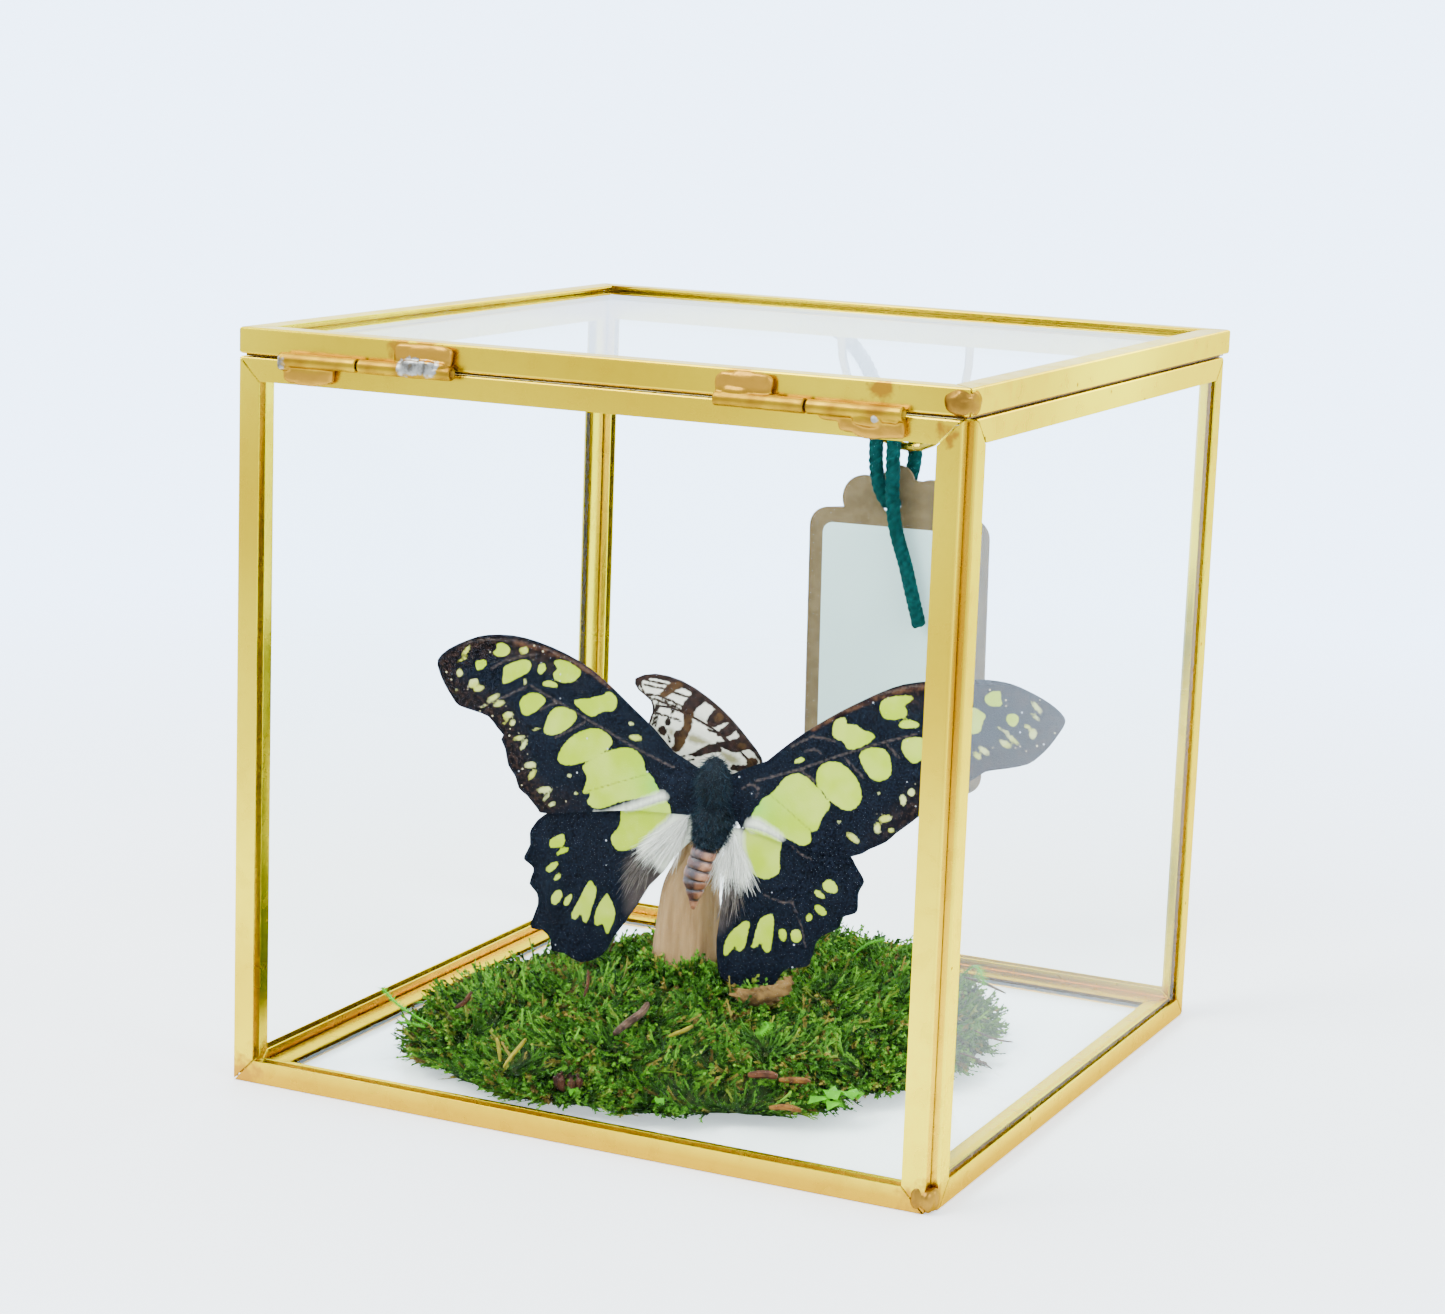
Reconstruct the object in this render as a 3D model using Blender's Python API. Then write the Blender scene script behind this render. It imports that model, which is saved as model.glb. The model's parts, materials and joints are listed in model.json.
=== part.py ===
"""Two mounted butterflies on a mound of moss in a hinged glass cube case with brass edges.

Units are metres and +Z is up. The origin is the middle of the case's underside. The hinges of the
lid are on the -Y side, and the pull, with its twine and paper tag, is on the +Y side.
"""
import math

import bpy
import bmesh
from mathutils import Matrix, Vector

MM = 0.001
GAP = 0.3 * MM

# Case: five panels and a lid, each a pane in four mitred U channels
CASE_HALF = 50 * MM
CASE_TOP = 96.25 * MM
CORNER_NOTCH = 1.0 * MM
PANEL_THICKNESS = 2.0 * MM
PANEL_WALL = 0.25 * MM
PANEL_CHANNEL_WIDTH = 3.05 * MM
PANE_THICKNESS = 1.3 * MM
LID_BOTTOM = 96.6 * MM
LID_TOP = 100 * MM
LID_WALL = 0.6 * MM
LID_PANE_THICKNESS = 2.0 * MM
LID_CHANNEL_WIDTH = 3.3 * MM
CHANNEL_WEB = 0.4 * MM
CHANNEL_EDGE_RADIUS = 0.35 * MM
PANE_EDGE = 0.7 * MM
MITRE_GAP = 0.18 * MM

# Hinges: a case tube and a lid tube on one pin, each with a lump of solder
HINGE_Y = -51.2 * MM
HINGE_Z = 96.45 * MM
TUBE_RADIUS = 0.9 * MM
TUBE_BORE = 0.5 * MM
PIN_RADIUS = 0.42 * MM
PIN_INSET = 0.9 * MM
SOLDER_DEPTH = 1.0 * MM
CASE_SOLDER_Z = (93.2 * MM, 96.0 * MM)
LID_SOLDER_Z = (97.0 * MM, 99.7 * MM)
# name: case tube, case solder, lid tube, lid solder, as spans along X
HINGES = {
    "left": ((-42.9, -31.6), (-42.9, -35.7), (-31.3, -18.7), (-26.4, -17.9)),
    "right": ((30.0, 42.2), (34.7, 42.2), (17.7, 29.7), (17.7, 24.8)),
}

# Pull: a wire loop on the lid's back rail, leaning out towards its foot
PULL_RADIUS = 10.3 * MM
PULL_WIRE = 0.65 * MM
PULL_TOP_Z = 99.0 * MM
PULL_TOP_Y = 51.1 * MM
PULL_ARC_Z = 92.7 * MM
PULL_ARC_HEIGHT = 14.0 * MM
PULL_CENTRE_X = -0.2 * MM
PULL_SKEW = 0.9 * MM
PULL_LEAN = 0.1

# Paper tag on its twine
TAG_FACE_Y = 53.4 * MM
TAG_THICKNESS = 0.6 * MM
TAG_CENTRE_X = -0.9 * MM
TAG_HALF_WIDTH = 14.3 * MM
TAG_BOTTOM_Z = 26.6 * MM
TAG_SHOULDER_Z = 68.6 * MM
TAG_CORNER = 3.0 * MM
TAG_TILT = math.radians(0.9)
TAG_HOLE = (-1.0 * MM, 70.0 * MM)
TAG_HOLE_RADIUS = 1.7 * MM
TWINE_RADIUS = 1.0 * MM
# The twine's two ends, in millimetres, from the middle of the tag's hole
TWINE_FRONT = [
    (-1.9, 53.55, 70.0), (-1.95, 52.8, 70.05), (-2.35, 52.1, 70.7), (-3.0, 51.7, 72.2),
    (-3.5, 51.4, 74.2), (-3.7, 51.1, 76.6), (-3.75, 51.0, 79.5), (-3.9, 51.2, 82.4), (-4.6, 51.9, 85.3),
    (-6.3, 52.8, 88.3), (-8.9, 53.5, 91.2), (-11.9, 53.7, 93.4), (-15.3, 53.6, 95.3),
    (-18.5, 53.4, 97.0),
]
TWINE_BACK = [
    (-1.9, 53.85, 70.0), (-1.8, 54.6, 70.05), (-1.4, 55.25, 70.7), (-0.5, 55.6, 72.2),
    (0.4, 55.6, 74.6), (0.8, 55.4, 77.5), (0.8, 54.8, 80.2), (0.3, 53.3, 82.0), (-0.4, 51.9, 81.8),
    (-0.85, 51.1, 79.9), (-0.9, 50.98, 77.0), (-0.8, 50.98, 73.8), (-0.65, 50.98, 70.6),
    (0.1, 51.0, 66.2), (1.6, 51.05, 61.9), (3.0, 51.1, 57.2), (4.4, 51.2, 52.4),
]

# Moss mound on the floor of the case
MOSS_CENTRE = (-1.9 * MM, -2.2 * MM)
MOSS_BOTTOM = 2.2 * MM
# Radius every 30 degrees from +X, and height above the floor of the case by share of the radius
MOSS_RADII = (35.5, 38.5, 41, 41, 39.5, 38.5, 40, 43, 44.3, 40.5, 38.2, 35)
MOSS_HEIGHTS = ((0.0, 9.1), (0.12, 9.0), (0.22, 8.1), (0.36, 7.6), (0.5, 6.9), (0.7, 5.2), (0.85, 3.4), (1.0, 0.9))
# The mound is higher towards its back right
MOSS_RISE = 5.0 * MM
MOSS_RISE_ANGLE = math.radians(75)

# Wooden post: x, y, z, radius, in millimetres
POST_LINE = [
    (-5.7, -4.0, 2.2, 5.3), (-5.7, -4.0, 7.0, 5.25), (-5.7, -4.0, 11.6, 5.1), (-5.65, -4.0, 17.0, 4.6),
    (-5.6, -4.0, 21.7, 4.1), (-4.9, -4.0, 25.5, 3.4), (-4.2, -4.0, 28.3, 2.8), (-4.0, -4.0, 31.5, 2.6),
    (-3.9, -3.9, 34.4, 2.45),
]
POST_HOLE = 5.75 * MM

# Loose chip of bark on the moss: x, y, z, radius, in millimetres
BARK_LINE = [
    (6.15, -12.2, 11.2, 0.7), (7.45, -12.4, 11.6, 1.15), (9.25, -12.5, 11.7, 1.35),
    (10.85, -12.3, 11.6, 1.2), (12.05, -11.8, 12.3, 0.75), (12.85, -11.2, 13.4, 0.6),
    (13.65, -10.7, 14.5, 0.4),
]

# Front butterfly: its wings spread in two planes that meet at the body
WING_THICKNESS = 0.3 * MM
FOREWING_Y = -8.8 * MM
HINDWING_Y = -8.2 * MM
LEFT_SLANT = math.atan(0.047)
RIGHT_SLANT = math.atan(0.24)
# Outlines in millimetres: distance from the body along the wing, and height
LEFT_FOREWING = [
    (4.1, 40.2), (6.8, 42.5), (9.8, 45.2), (13.5, 47.8), (16.9, 50.3), (20.2, 52.4), (24.1, 54.0),
    (28.7, 55.1), (32.7, 55.5), (36.8, 55.1), (39.8, 54.1), (43.3, 52.3), (45.1, 50.5), (44.8, 48.9),
    (43.9, 47.2), (42.5, 45.4), (41.4, 44.4), (38.9, 44.0), (36.4, 43.5), (34.9, 42.1), (33.9, 41.2),
    (34.2, 40.5), (33.5, 39.2), (33.0, 37.0), (31.8, 35.5), (31.2, 33.9), (29.8, 33.0), (28.0, 31.3),
    (27.0, 30.9), (20.7, 32.0), (11.8, 33.6), (5.2, 34.0), (4.3, 36.4),
]
LEFT_HINDWING = [
    (4.4, 34.2), (11.8, 34.4), (21.9, 33.2), (27.2, 30.6), (28.9, 28.9), (29.6, 27.6), (29.5, 25.9),
    (30.4, 24.1), (30.2, 23.5), (29.1, 22.9), (28.8, 22.2), (29.4, 20.3), (28.2, 19.2), (27.9, 17.5),
    (29.0, 14.5), (28.4, 13.9), (26.9, 13.9), (25.6, 12.8), (25.4, 11.3), (23.3, 11.2), (20.6, 10.3),
    (17.3, 11.9), (15.5, 14.8), (12.0, 19.8), (10.1, 23.0), (7.8, 25.5), (5.2, 30.0),
]
RIGHT_FOREWING = [
    (3.7, 39.7), (6.9, 42.7), (10.0, 45.5), (13.0, 47.8), (16.7, 50.3), (20.0, 52.2), (22.2, 53.4),
    (25.0, 54.6), (29.0, 55.4), (34.2, 56.0), (37.0, 56.0), (39.0, 55.7), (41.0, 55.0), (43.0, 54.1),
    (44.8, 53.0), (46.0, 51.8), (46.1, 50.9), (45.5, 49.7), (44.3, 47.8), (43.0, 46.3), (41.5, 45.1),
    (38.8, 44.3), (36.5, 43.8), (35.2, 43.1), (31.3, 40.0), (27.0, 36.0), (24.9, 34.2), (23.6, 32.9),
    (21.4, 31.7), (19.0, 30.5), (13.4, 30.8), (6.3, 32.4), (4.5, 34.6),
]
RIGHT_HINDWING = [
    (3.5, 32.6), (10.3, 33.4), (16.3, 32.2), (18.7, 30.3), (19.3, 29.3), (20.1, 28.1), (20.65, 27.0),
    (20.2, 26.0), (19.9, 25.0), (19.95, 23.3), (19.6, 22.5), (18.3, 22.0), (17.7, 21.5), (17.4, 20.3),
    (16.2, 19.5), (15.2, 18.9), (14.4, 17.9), (13.8, 15.5), (13.2, 14.4), (10.7, 13.9), (9.7, 13.0),
    (9.0, 11.7), (8.3, 11.1), (6.0, 11.4), (4.0, 10.4), (2.7, 11.1), (1.4, 11.8), (0.8, 14.0),
    (0.6, 17.0), (0.9, 20.0), (1.1, 22.4), (1.4, 26.0), (2.4, 29.4),
]
# Head and thorax from the crown down: x, y, z, radius, in millimetres
FRONT_TORSO = [
    (-0.26, -8.9, 43.5, 0.5), (-0.26, -8.9, 43.0, 1.3), (-0.26, -8.8, 42.0, 1.7),
    (-0.26, -8.7, 41.0, 1.5), (-0.31, -8.5, 40.2, 1.3), (-0.26, -8.4, 39.4, 2.1),
    (-0.26, -8.3, 38.2, 2.8), (-0.26, -8.3, 36.6, 3.1), (-0.36, -8.4, 35.0, 3.0),
    (-0.56, -8.6, 33.2, 2.6), (-0.86, -8.9, 31.6, 2.1), (-1.06, -9.0, 30.4, 1.7),
]
FRONT_ABDOMEN = ((-1.16, -9.1, 29.9, 1.75), (-2.16, -9.6, 25.6, 1.9), (-2.36, -9.8, 21.2, 0.6))
FRONT_SEGMENTS = 7
# Legs folded behind the front butterfly: points in millimetres
FRONT_LEGS = [
    [(0.64, -6.8, 38.0), (2.84, -4.2, 37.0), (2.04, -1.6, 33.2)],
    [(-1.36, -6.8, 38.0), (-4.36, -5.6, 39.4), (-7.16, -5.8, 36.2)],
    [(0.44, -7.0, 35.2), (1.84, -4.2, 32.4), (0.24, -2.6, 29.0)],
    [(-1.56, -7.2, 35.6), (-4.96, -7.5, 34.4), (-7.76, -6.4, 31.0)],
]

# Small butterfly on top of the post: its wings closed over its back
SMALL_PLANE_POINT = (2.74 * MM, -1.5 * MM)
SMALL_SLANT = math.atan(0.24)
SMALL_WING_THICKNESS = 0.25 * MM
SMALL_FOREWING = [
    (0.6, 39.4), (0.5, 41.5), (-1.4, 43.9), (-4.0, 46.7), (-7.2, 49.3), (-11.0, 51.4), (-14.8, 52.1),
    (-17.5, 51.3), (-17.0, 49.8), (-15.2, 48.4), (-14.9, 46.6), (-15.2, 44.4), (-13.4, 42.2), (-8.6, 40.2),
    (-1.4, 39.3),
]
SMALL_HINDWING = [
    (0.0, 39.9), (-2.4, 42.6), (-6.2, 45.4), (-10.6, 47.4), (-13.8, 48.0), (-15.0, 46.4), (-15.5, 43.4),
    (-14.8, 40.6), (-13.0, 38.0), (-11.0, 36.4), (-9.0, 37.4), (-4.4, 38.6),
]
SMALL_TORSO = [
    (7.24, -0.45, 38.3, 0.4), (6.94, -0.5, 38.2, 0.9), (6.24, -0.65, 38.0, 1.1),
    (5.44, -0.85, 37.8, 0.9), (4.74, -1.0, 37.7, 1.2), (3.74, -1.25, 37.5, 1.6),
    (2.54, -1.55, 37.3, 1.6), (1.34, -1.85, 37.0, 1.3), (0.44, -2.05, 36.8, 0.95),
]
SMALL_ABDOMEN = ((0.04, -2.15, 36.7, 0.95), (-2.96, -2.85, 36.25, 1.1), (-6.76, -3.8, 35.7, 0.4))
SMALL_SEGMENTS = 6
SMALL_LEGS = [
    [(3.44, -2.3, 36.6), (3.84, -4.0, 35.8), (0.84, -4.3, 34.2), (-1.06, -4.4, 34.6)],
    [(2.24, -0.8, 36.2), (2.44, 0.4, 35.0), (-0.36, -1.2, 33.9), (-1.26, -2.6, 34.9)],
    [(1.44, -2.6, 36.2), (0.04, -4.4, 35.9), (-2.16, -4.9, 35.1)],
    [(1.04, -1.2, 36.0), (-0.76, -0.4, 36.4), (-2.76, -1.7, 35.1)],
]
LEG_RADIUS = 0.2 * MM

# name: base colour, roughness, metallic
MATERIALS = {
    "brass": ((0.80, 0.57, 0.16), 0.28, 1.0),
    "brass_lid": ((0.82, 0.60, 0.18), 0.26, 1.0),
    "brass_hinge": ((0.72, 0.48, 0.18), 0.38, 1.0),
    "glass": ((0.86, 0.93, 0.91), 0.02, 0.0),
    "kraft": ((0.30, 0.19, 0.10), 0.85, 0.0),
    "twine": ((0.01, 0.21, 0.20), 0.90, 0.0),
    "moss": ((0.07, 0.20, 0.02), 0.95, 0.0),
    "wood": ((0.50, 0.32, 0.17), 0.80, 0.0),
    "bark": ((0.38, 0.24, 0.10), 0.85, 0.0),
    "dark_wing": ((0.012, 0.014, 0.018), 0.60, 0.0),
    "dark_body": ((0.015, 0.017, 0.022), 0.80, 0.0),
    "pale_wing": ((0.76, 0.74, 0.66), 0.70, 0.0),
    "pale_body": ((0.34, 0.27, 0.20), 0.85, 0.0),
}


def clear_scene():
    for item in list(bpy.data.objects):
        bpy.data.objects.remove(item, do_unlink=True)


def make_collection(name):
    collection = bpy.data.collections.new(name)
    bpy.context.scene.collection.children.link(collection)
    return collection


def make_material(name):
    colour, roughness, metallic = MATERIALS[name]
    material = bpy.data.materials.new(name)
    material.use_nodes = True
    shader = material.node_tree.nodes["Principled BSDF"]
    shader.inputs["Base Color"].default_value = (*colour, 1.0)
    shader.inputs["Roughness"].default_value = roughness
    shader.inputs["Metallic"].default_value = metallic
    if name == "glass":
        shader.inputs["Transmission Weight"].default_value = 1.0
    return material


class Builder:
    """Holds the collections, the materials and the empty that the lid's pieces hang from."""

    def __init__(self):
        clear_scene()
        self.parts = make_collection("butterfly_case")
        self.cutters = make_collection("cutters")
        self.materials = {name: make_material(name) for name in MATERIALS}
        self.lid_axis = bpy.data.objects.new("lid_axis", None)
        self.lid_axis.location = (0, HINGE_Y, HINGE_Z)
        self.parts.objects.link(self.lid_axis)

    def add(self, name, mesh, material, lid=False, smooth_angle=None):
        """Makes a part from a mesh in world coordinates."""
        part = bpy.data.objects.new(name, mesh)
        part.data.materials.clear()
        part.data.materials.append(self.materials[material])
        self.parts.objects.link(part)
        if lid:
            mesh.transform(Matrix.Translation(-self.lid_axis.location))
            part.parent = self.lid_axis
        if smooth_angle:
            mesh.shade_smooth()
            mesh.set_sharp_from_angle(angle=math.radians(smooth_angle))
        return part

    def cutter(self, name, mesh, target, operation):
        """Joins a mesh in world coordinates to a part, or cuts it away, with a Boolean."""
        tool = bpy.data.objects.new(name, mesh)
        tool.hide_render = True
        tool.display_type = "WIRE"
        self.cutters.objects.link(tool)
        boolean = target.modifiers.new(name, "BOOLEAN")
        boolean.object = tool
        boolean.operation = operation
        boolean.solver = "EXACT"


def mesh_of_curve(curve, matrix=None):
    """Turns a curve into a closed mesh in world coordinates, its caps welded on."""
    source = bpy.data.objects.new("outline", curve)
    bpy.context.scene.collection.objects.link(source)
    graph = bpy.context.evaluated_depsgraph_get()
    mesh = bpy.data.meshes.new_from_object(source.evaluated_get(graph))
    bpy.data.objects.remove(source, do_unlink=True)
    bm = bmesh.new()
    bm.from_mesh(mesh)
    bmesh.ops.remove_doubles(bm, verts=bm.verts, dist=0.001 * MM)
    bmesh.ops.recalc_face_normals(bm, faces=bm.faces)
    if matrix:
        bmesh.ops.transform(bm, matrix=matrix, verts=bm.verts)
    bm.to_mesh(mesh)
    bm.free()
    return mesh


def flat_plate(outline, thickness, matrix, holes=()):
    """A plate of the outline, given in metres in the curve's own XY plane, placed by the matrix."""
    curve = bpy.data.curves.new("outline", "CURVE")
    curve.dimensions = "2D"
    curve.fill_mode = "BOTH"
    curve.extrude = thickness / 2
    for loop in (outline, *holes):
        spline = curve.splines.new("POLY")
        spline.points.add(len(loop) - 1)
        for point, (x, y) in zip(spline.points, loop):
            point.co = (x, y, 0, 1)
        spline.use_cyclic_u = True
    return mesh_of_curve(curve, matrix)


def tube(points, radii, sides):
    """A round tube with filled ends through the points, with its own radius at each."""
    curve = bpy.data.curves.new("route", "CURVE")
    curve.dimensions = "3D"
    curve.bevel_depth = 1.0
    curve.bevel_resolution = sides // 2 - 2
    curve.use_fill_caps = True
    curve.twist_mode = "MINIMUM"
    spline = curve.splines.new("POLY")
    spline.points.add(len(points) - 1)
    for item, point, radius in zip(spline.points, points, radii):
        item.co = (*point, 1)
        item.radius = radius
    return mesh_of_curve(curve)


def box_mesh(low, high, bevel=0.0):
    """A box between two corners, its edges rounded."""
    low, high = Vector(low), Vector(high)
    bm = bmesh.new()
    bmesh.ops.create_cube(bm, size=1.0)
    bmesh.ops.scale(bm, vec=high - low, verts=bm.verts)
    bmesh.ops.translate(bm, vec=(low + high) / 2, verts=bm.verts)
    if bevel:
        bmesh.ops.bevel(bm, geom=bm.edges[:], offset=bevel, segments=2, profile=0.5, affect="EDGES")
    mesh = bpy.data.meshes.new("box")
    bm.to_mesh(mesh)
    bm.free()
    return mesh


def cylinder_mesh(start, end, radius, segments=16):
    """A closed cylinder between two points."""
    start, end = Vector(start), Vector(end)
    bm = bmesh.new()
    turn = (end - start).to_track_quat("Z", "Y").to_matrix().to_4x4()
    place = Matrix.Translation((start + end) / 2) @ turn
    bmesh.ops.create_cone(bm, cap_ends=True, segments=segments, radius1=radius, radius2=radius,
                          depth=(end - start).length, matrix=place)
    mesh = bpy.data.meshes.new("cylinder")
    bm.to_mesh(mesh)
    bm.free()
    return mesh


def arc(centre, radius, start, end, steps):
    """Points of an arc, with its angles in degrees."""
    angles = [math.radians(start + (end - start) * i / steps) for i in range(steps + 1)]
    return [(centre[0] + radius * math.cos(a), centre[1] + radius * math.sin(a)) for a in angles]


def smooth(points, steps, closed=False):
    """Points of a smooth curve through the given ones."""
    vectors = [Vector(point) for point in points]
    count = len(vectors)
    spans = count if closed else count - 1
    result = []
    for i in range(spans):
        if closed:
            a, b, c, d = (vectors[(i + k - 1) % count] for k in range(4))
        else:
            a, b, c, d = (vectors[min(max(i + k - 1, 0), count - 1)] for k in range(4))
        for j in range(steps):
            t = j / steps
            result.append(0.5 * (2 * b + (c - a) * t + (2 * a - 5 * b + 4 * c - d) * t ** 2
                                 + (3 * b - a - 3 * c + d) * t ** 3))
    if not closed:
        result.append(vectors[-1])
    return result


def channel_profile(width, thickness, wall):
    """The U channel's section: x runs in from the panel's edge, y in from its outer face."""
    r = CHANNEL_EDGE_RADIUS
    return [
        (width, 0),
        *arc((r, r), r, 270, 180, 3),
        *arc((r, thickness - r), r, 180, 90, 3),
        (width, thickness),
        (width, thickness - wall),
        (CHANNEL_WEB, thickness - wall),
        (CHANNEL_WEB, wall),
        (width, wall),
    ]


def rail_mesh(length, profile, middle, inward, outward):
    """A rail of U channel, mitred at both ends, whose open side looks inward."""
    mesh = flat_plate(profile, length, None)
    bm = bmesh.new()
    bm.from_mesh(mesh)
    for side in (1, -1):
        bmesh.ops.bisect_plane(
            bm, geom=[*bm.verts, *bm.edges, *bm.faces], dist=0.0001 * MM,
            plane_co=(0, 0, side * (length / 2 - MITRE_GAP)),
            plane_no=Vector((1, 0, side)).normalized(), clear_outer=True)
        bmesh.ops.holes_fill(bm, edges=[edge for edge in bm.edges if edge.is_boundary])
    bmesh.ops.recalc_face_normals(bm, faces=bm.faces)
    inward, outward = Vector(inward), Vector(outward)
    turn = Matrix((inward, -outward, inward.cross(-outward))).transposed().to_4x4()
    bmesh.ops.transform(bm, matrix=Matrix.Translation(middle) @ turn, verts=bm.verts)
    bm.to_mesh(mesh)
    bm.free()
    return mesh


def add_panel(builder, name, centre, outward, across, half_across, half_up, rail_names, lid=False):
    """A pane in its four rails. The centre is on the panel's outer face."""
    centre, outward, across = Vector(centre), Vector(outward), Vector(across)
    up = outward.cross(across)
    thickness = LID_TOP - LID_BOTTOM if lid else PANEL_THICKNESS
    wall = LID_WALL if lid else PANEL_WALL
    width = LID_CHANNEL_WIDTH if lid else PANEL_CHANNEL_WIDTH
    pane = LID_PANE_THICKNESS if lid else PANE_THICKNESS
    material = "brass_lid" if lid else "brass"
    profile = channel_profile(width, thickness, wall)
    sides = ((-up, half_up, half_across), (up, half_up, half_across),
             (-across, half_across, half_up), (across, half_across, half_up))
    for rail_name, (direction, reach, half_length) in zip(rail_names, sides):
        mesh = rail_mesh(2 * half_length, profile, centre + direction * reach, -direction, outward)
        builder.add(f"{name}_rail_{rail_name}", mesh, material, lid, smooth_angle=35)
    depth = (thickness - pane) / 2
    corner_a = centre - across * (half_across - PANE_EDGE) - up * (half_up - PANE_EDGE) - outward * depth
    corner_b = centre + across * (half_across - PANE_EDGE) + up * (half_up - PANE_EDGE)
    corner_b -= outward * (depth + pane)
    low = [min(a, b) for a, b in zip(corner_a, corner_b)]
    high = [max(a, b) for a, b in zip(corner_a, corner_b)]
    builder.add(f"{name}_glass", box_mesh(low, high), "glass", lid)


def add_case(builder):
    """The front and back panels stand outside the ends of the left and right ones."""
    front_half = CASE_HALF - CORNER_NOTCH / 2
    front_x = -CORNER_NOTCH / 2
    inner_half = CASE_HALF - PANEL_THICKNESS - GAP
    upright = ("bottom", "top", "left", "right")
    half_z = CASE_TOP / 2
    for name, centre, outward, across, half_across in (
            ("front", (front_x, -CASE_HALF, half_z), (0, -1, 0), (1, 0, 0), front_half),
            ("right", (CASE_HALF, 0, half_z), (1, 0, 0), (0, 1, 0), inner_half),
            ("back", (front_x, CASE_HALF, half_z), (0, 1, 0), (-1, 0, 0), front_half),
            ("left", (-CASE_HALF, 0, half_z), (-1, 0, 0), (0, -1, 0), inner_half)):
        add_panel(builder, name, centre, outward, across, half_across, half_z, upright)
    add_panel(builder, "floor", (0, 0, 0), (0, 0, -1), (1, 0, 0), inner_half, inner_half,
              ("back", "front", "left", "right"))
    add_panel(builder, "lid", (0, 0, LID_TOP), (0, 0, 1), (1, 0, 0), CASE_HALF, CASE_HALF,
              ("front", "back", "left", "right"), lid=True)


def add_hinge_tube(builder, name, span, solder_span, solder_z, lid):
    """A tube round the hinge axis with the lump of solder that holds it to its rail."""
    ends = [(x * MM, HINGE_Y, HINGE_Z) for x in span]
    part = builder.add(name, cylinder_mesh(*ends, TUBE_RADIUS), "brass_hinge", lid, smooth_angle=35)
    face_y = -CASE_HALF - GAP
    lump_low = (solder_span[0] * MM, face_y - SOLDER_DEPTH, solder_z[0])
    lump_high = (solder_span[1] * MM, face_y, solder_z[1])
    builder.cutter(f"{name}_solder", box_mesh(lump_low, lump_high, bevel=0.35 * MM), part, "UNION")
    bore = [(x * MM + side * MM, HINGE_Y, HINGE_Z) for x, side in zip(span, (-1, 1))]
    builder.cutter(f"{name}_bore", cylinder_mesh(*bore, TUBE_BORE), part, "DIFFERENCE")


def add_hinges(builder):
    for side, (case_tube, case_solder, lid_tube, lid_solder) in HINGES.items():
        add_hinge_tube(builder, f"hinge_{side}_case_tube", case_tube, case_solder, CASE_SOLDER_Z, False)
        add_hinge_tube(builder, f"hinge_{side}_lid_tube", lid_tube, lid_solder, LID_SOLDER_Z, True)
        start = min(*case_tube, *lid_tube) * MM + PIN_INSET
        end = max(*case_tube, *lid_tube) * MM - PIN_INSET
        mesh = cylinder_mesh((start, HINGE_Y, HINGE_Z), (end, HINGE_Y, HINGE_Z), PIN_RADIUS)
        builder.add(f"hinge_{side}_pin", mesh, "brass_hinge", smooth_angle=35)


def pull_y(z):
    return PULL_TOP_Y + (PULL_TOP_Z - z) * PULL_LEAN


def add_pull(builder):
    half_oval = [(x * PULL_RADIUS + z * z * PULL_SKEW, PULL_ARC_Z + z * PULL_ARC_HEIGHT)
                 for x, z in arc((0, 0), 1, 180, 360, 16)]
    flat = [(-PULL_RADIUS, PULL_TOP_Z), *half_oval, (PULL_RADIUS, PULL_TOP_Z)]
    points = [(PULL_CENTRE_X + x, pull_y(z), z) for x, z in flat]
    mesh = tube(points, [PULL_WIRE] * len(points), 10)
    part = builder.add("pull_loop", mesh, "brass_hinge", lid=True, smooth_angle=50)
    for side in (-1, 1):
        middle = PULL_CENTRE_X + side * PULL_RADIUS
        low = (middle - 1.7 * MM, CASE_HALF + GAP, 97.1 * MM)
        high = (middle + 1.7 * MM, CASE_HALF + GAP + 1.7 * MM, 99.7 * MM)
        builder.cutter(f"pull_solder_{side + 1}", box_mesh(low, high, bevel=0.5 * MM), part, "UNION")


def tag_outline():
    """Rounded rectangle with a crown of three lobes, around the tag's middle line."""
    half = TAG_HALF_WIDTH
    corner = TAG_CORNER
    right = [
        *arc((half - corner, TAG_BOTTOM_Z + corner), corner, 270, 360, 4),
        *arc((half - corner, TAG_SHOULDER_Z - corner), corner, 0, 90, 4),
        *arc((5.4 * MM, 70.3 * MM), 3.6 * MM, -25, 115, 8),
        *arc((0, 73.2 * MM), 2.6 * MM, 10, 90, 4),
    ]
    left = [(-x, z) for x, z in reversed(right[:-1])]
    return right + left


def add_tag(builder):
    """The tag hangs in the XZ plane, turned a little about its hole."""
    hole = arc(TAG_HOLE, TAG_HOLE_RADIUS, 0, 330, 11)
    stand = Matrix.Rotation(math.radians(90), 4, "X")
    pivot = Matrix.Translation((TAG_HOLE[0], 0, TAG_HOLE[1]))
    tilt = pivot @ Matrix.Rotation(-TAG_TILT, 4, "Y") @ pivot.inverted()
    place = Matrix.Translation((TAG_CENTRE_X, TAG_FACE_Y + TAG_THICKNESS / 2, 0))
    mesh = flat_plate(tag_outline(), TAG_THICKNESS, place @ tilt @ stand, holes=[hole])
    builder.add("tag", mesh, "kraft", lid=True)
    for name, route in (("twine_front", TWINE_FRONT), ("twine_back", TWINE_BACK)):
        points = [point * MM for point in smooth(route, 3)]
        builder.add(name, tube(points, [TWINE_RADIUS] * len(points), 8), "twine", lid=True, smooth_angle=60)


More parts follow.
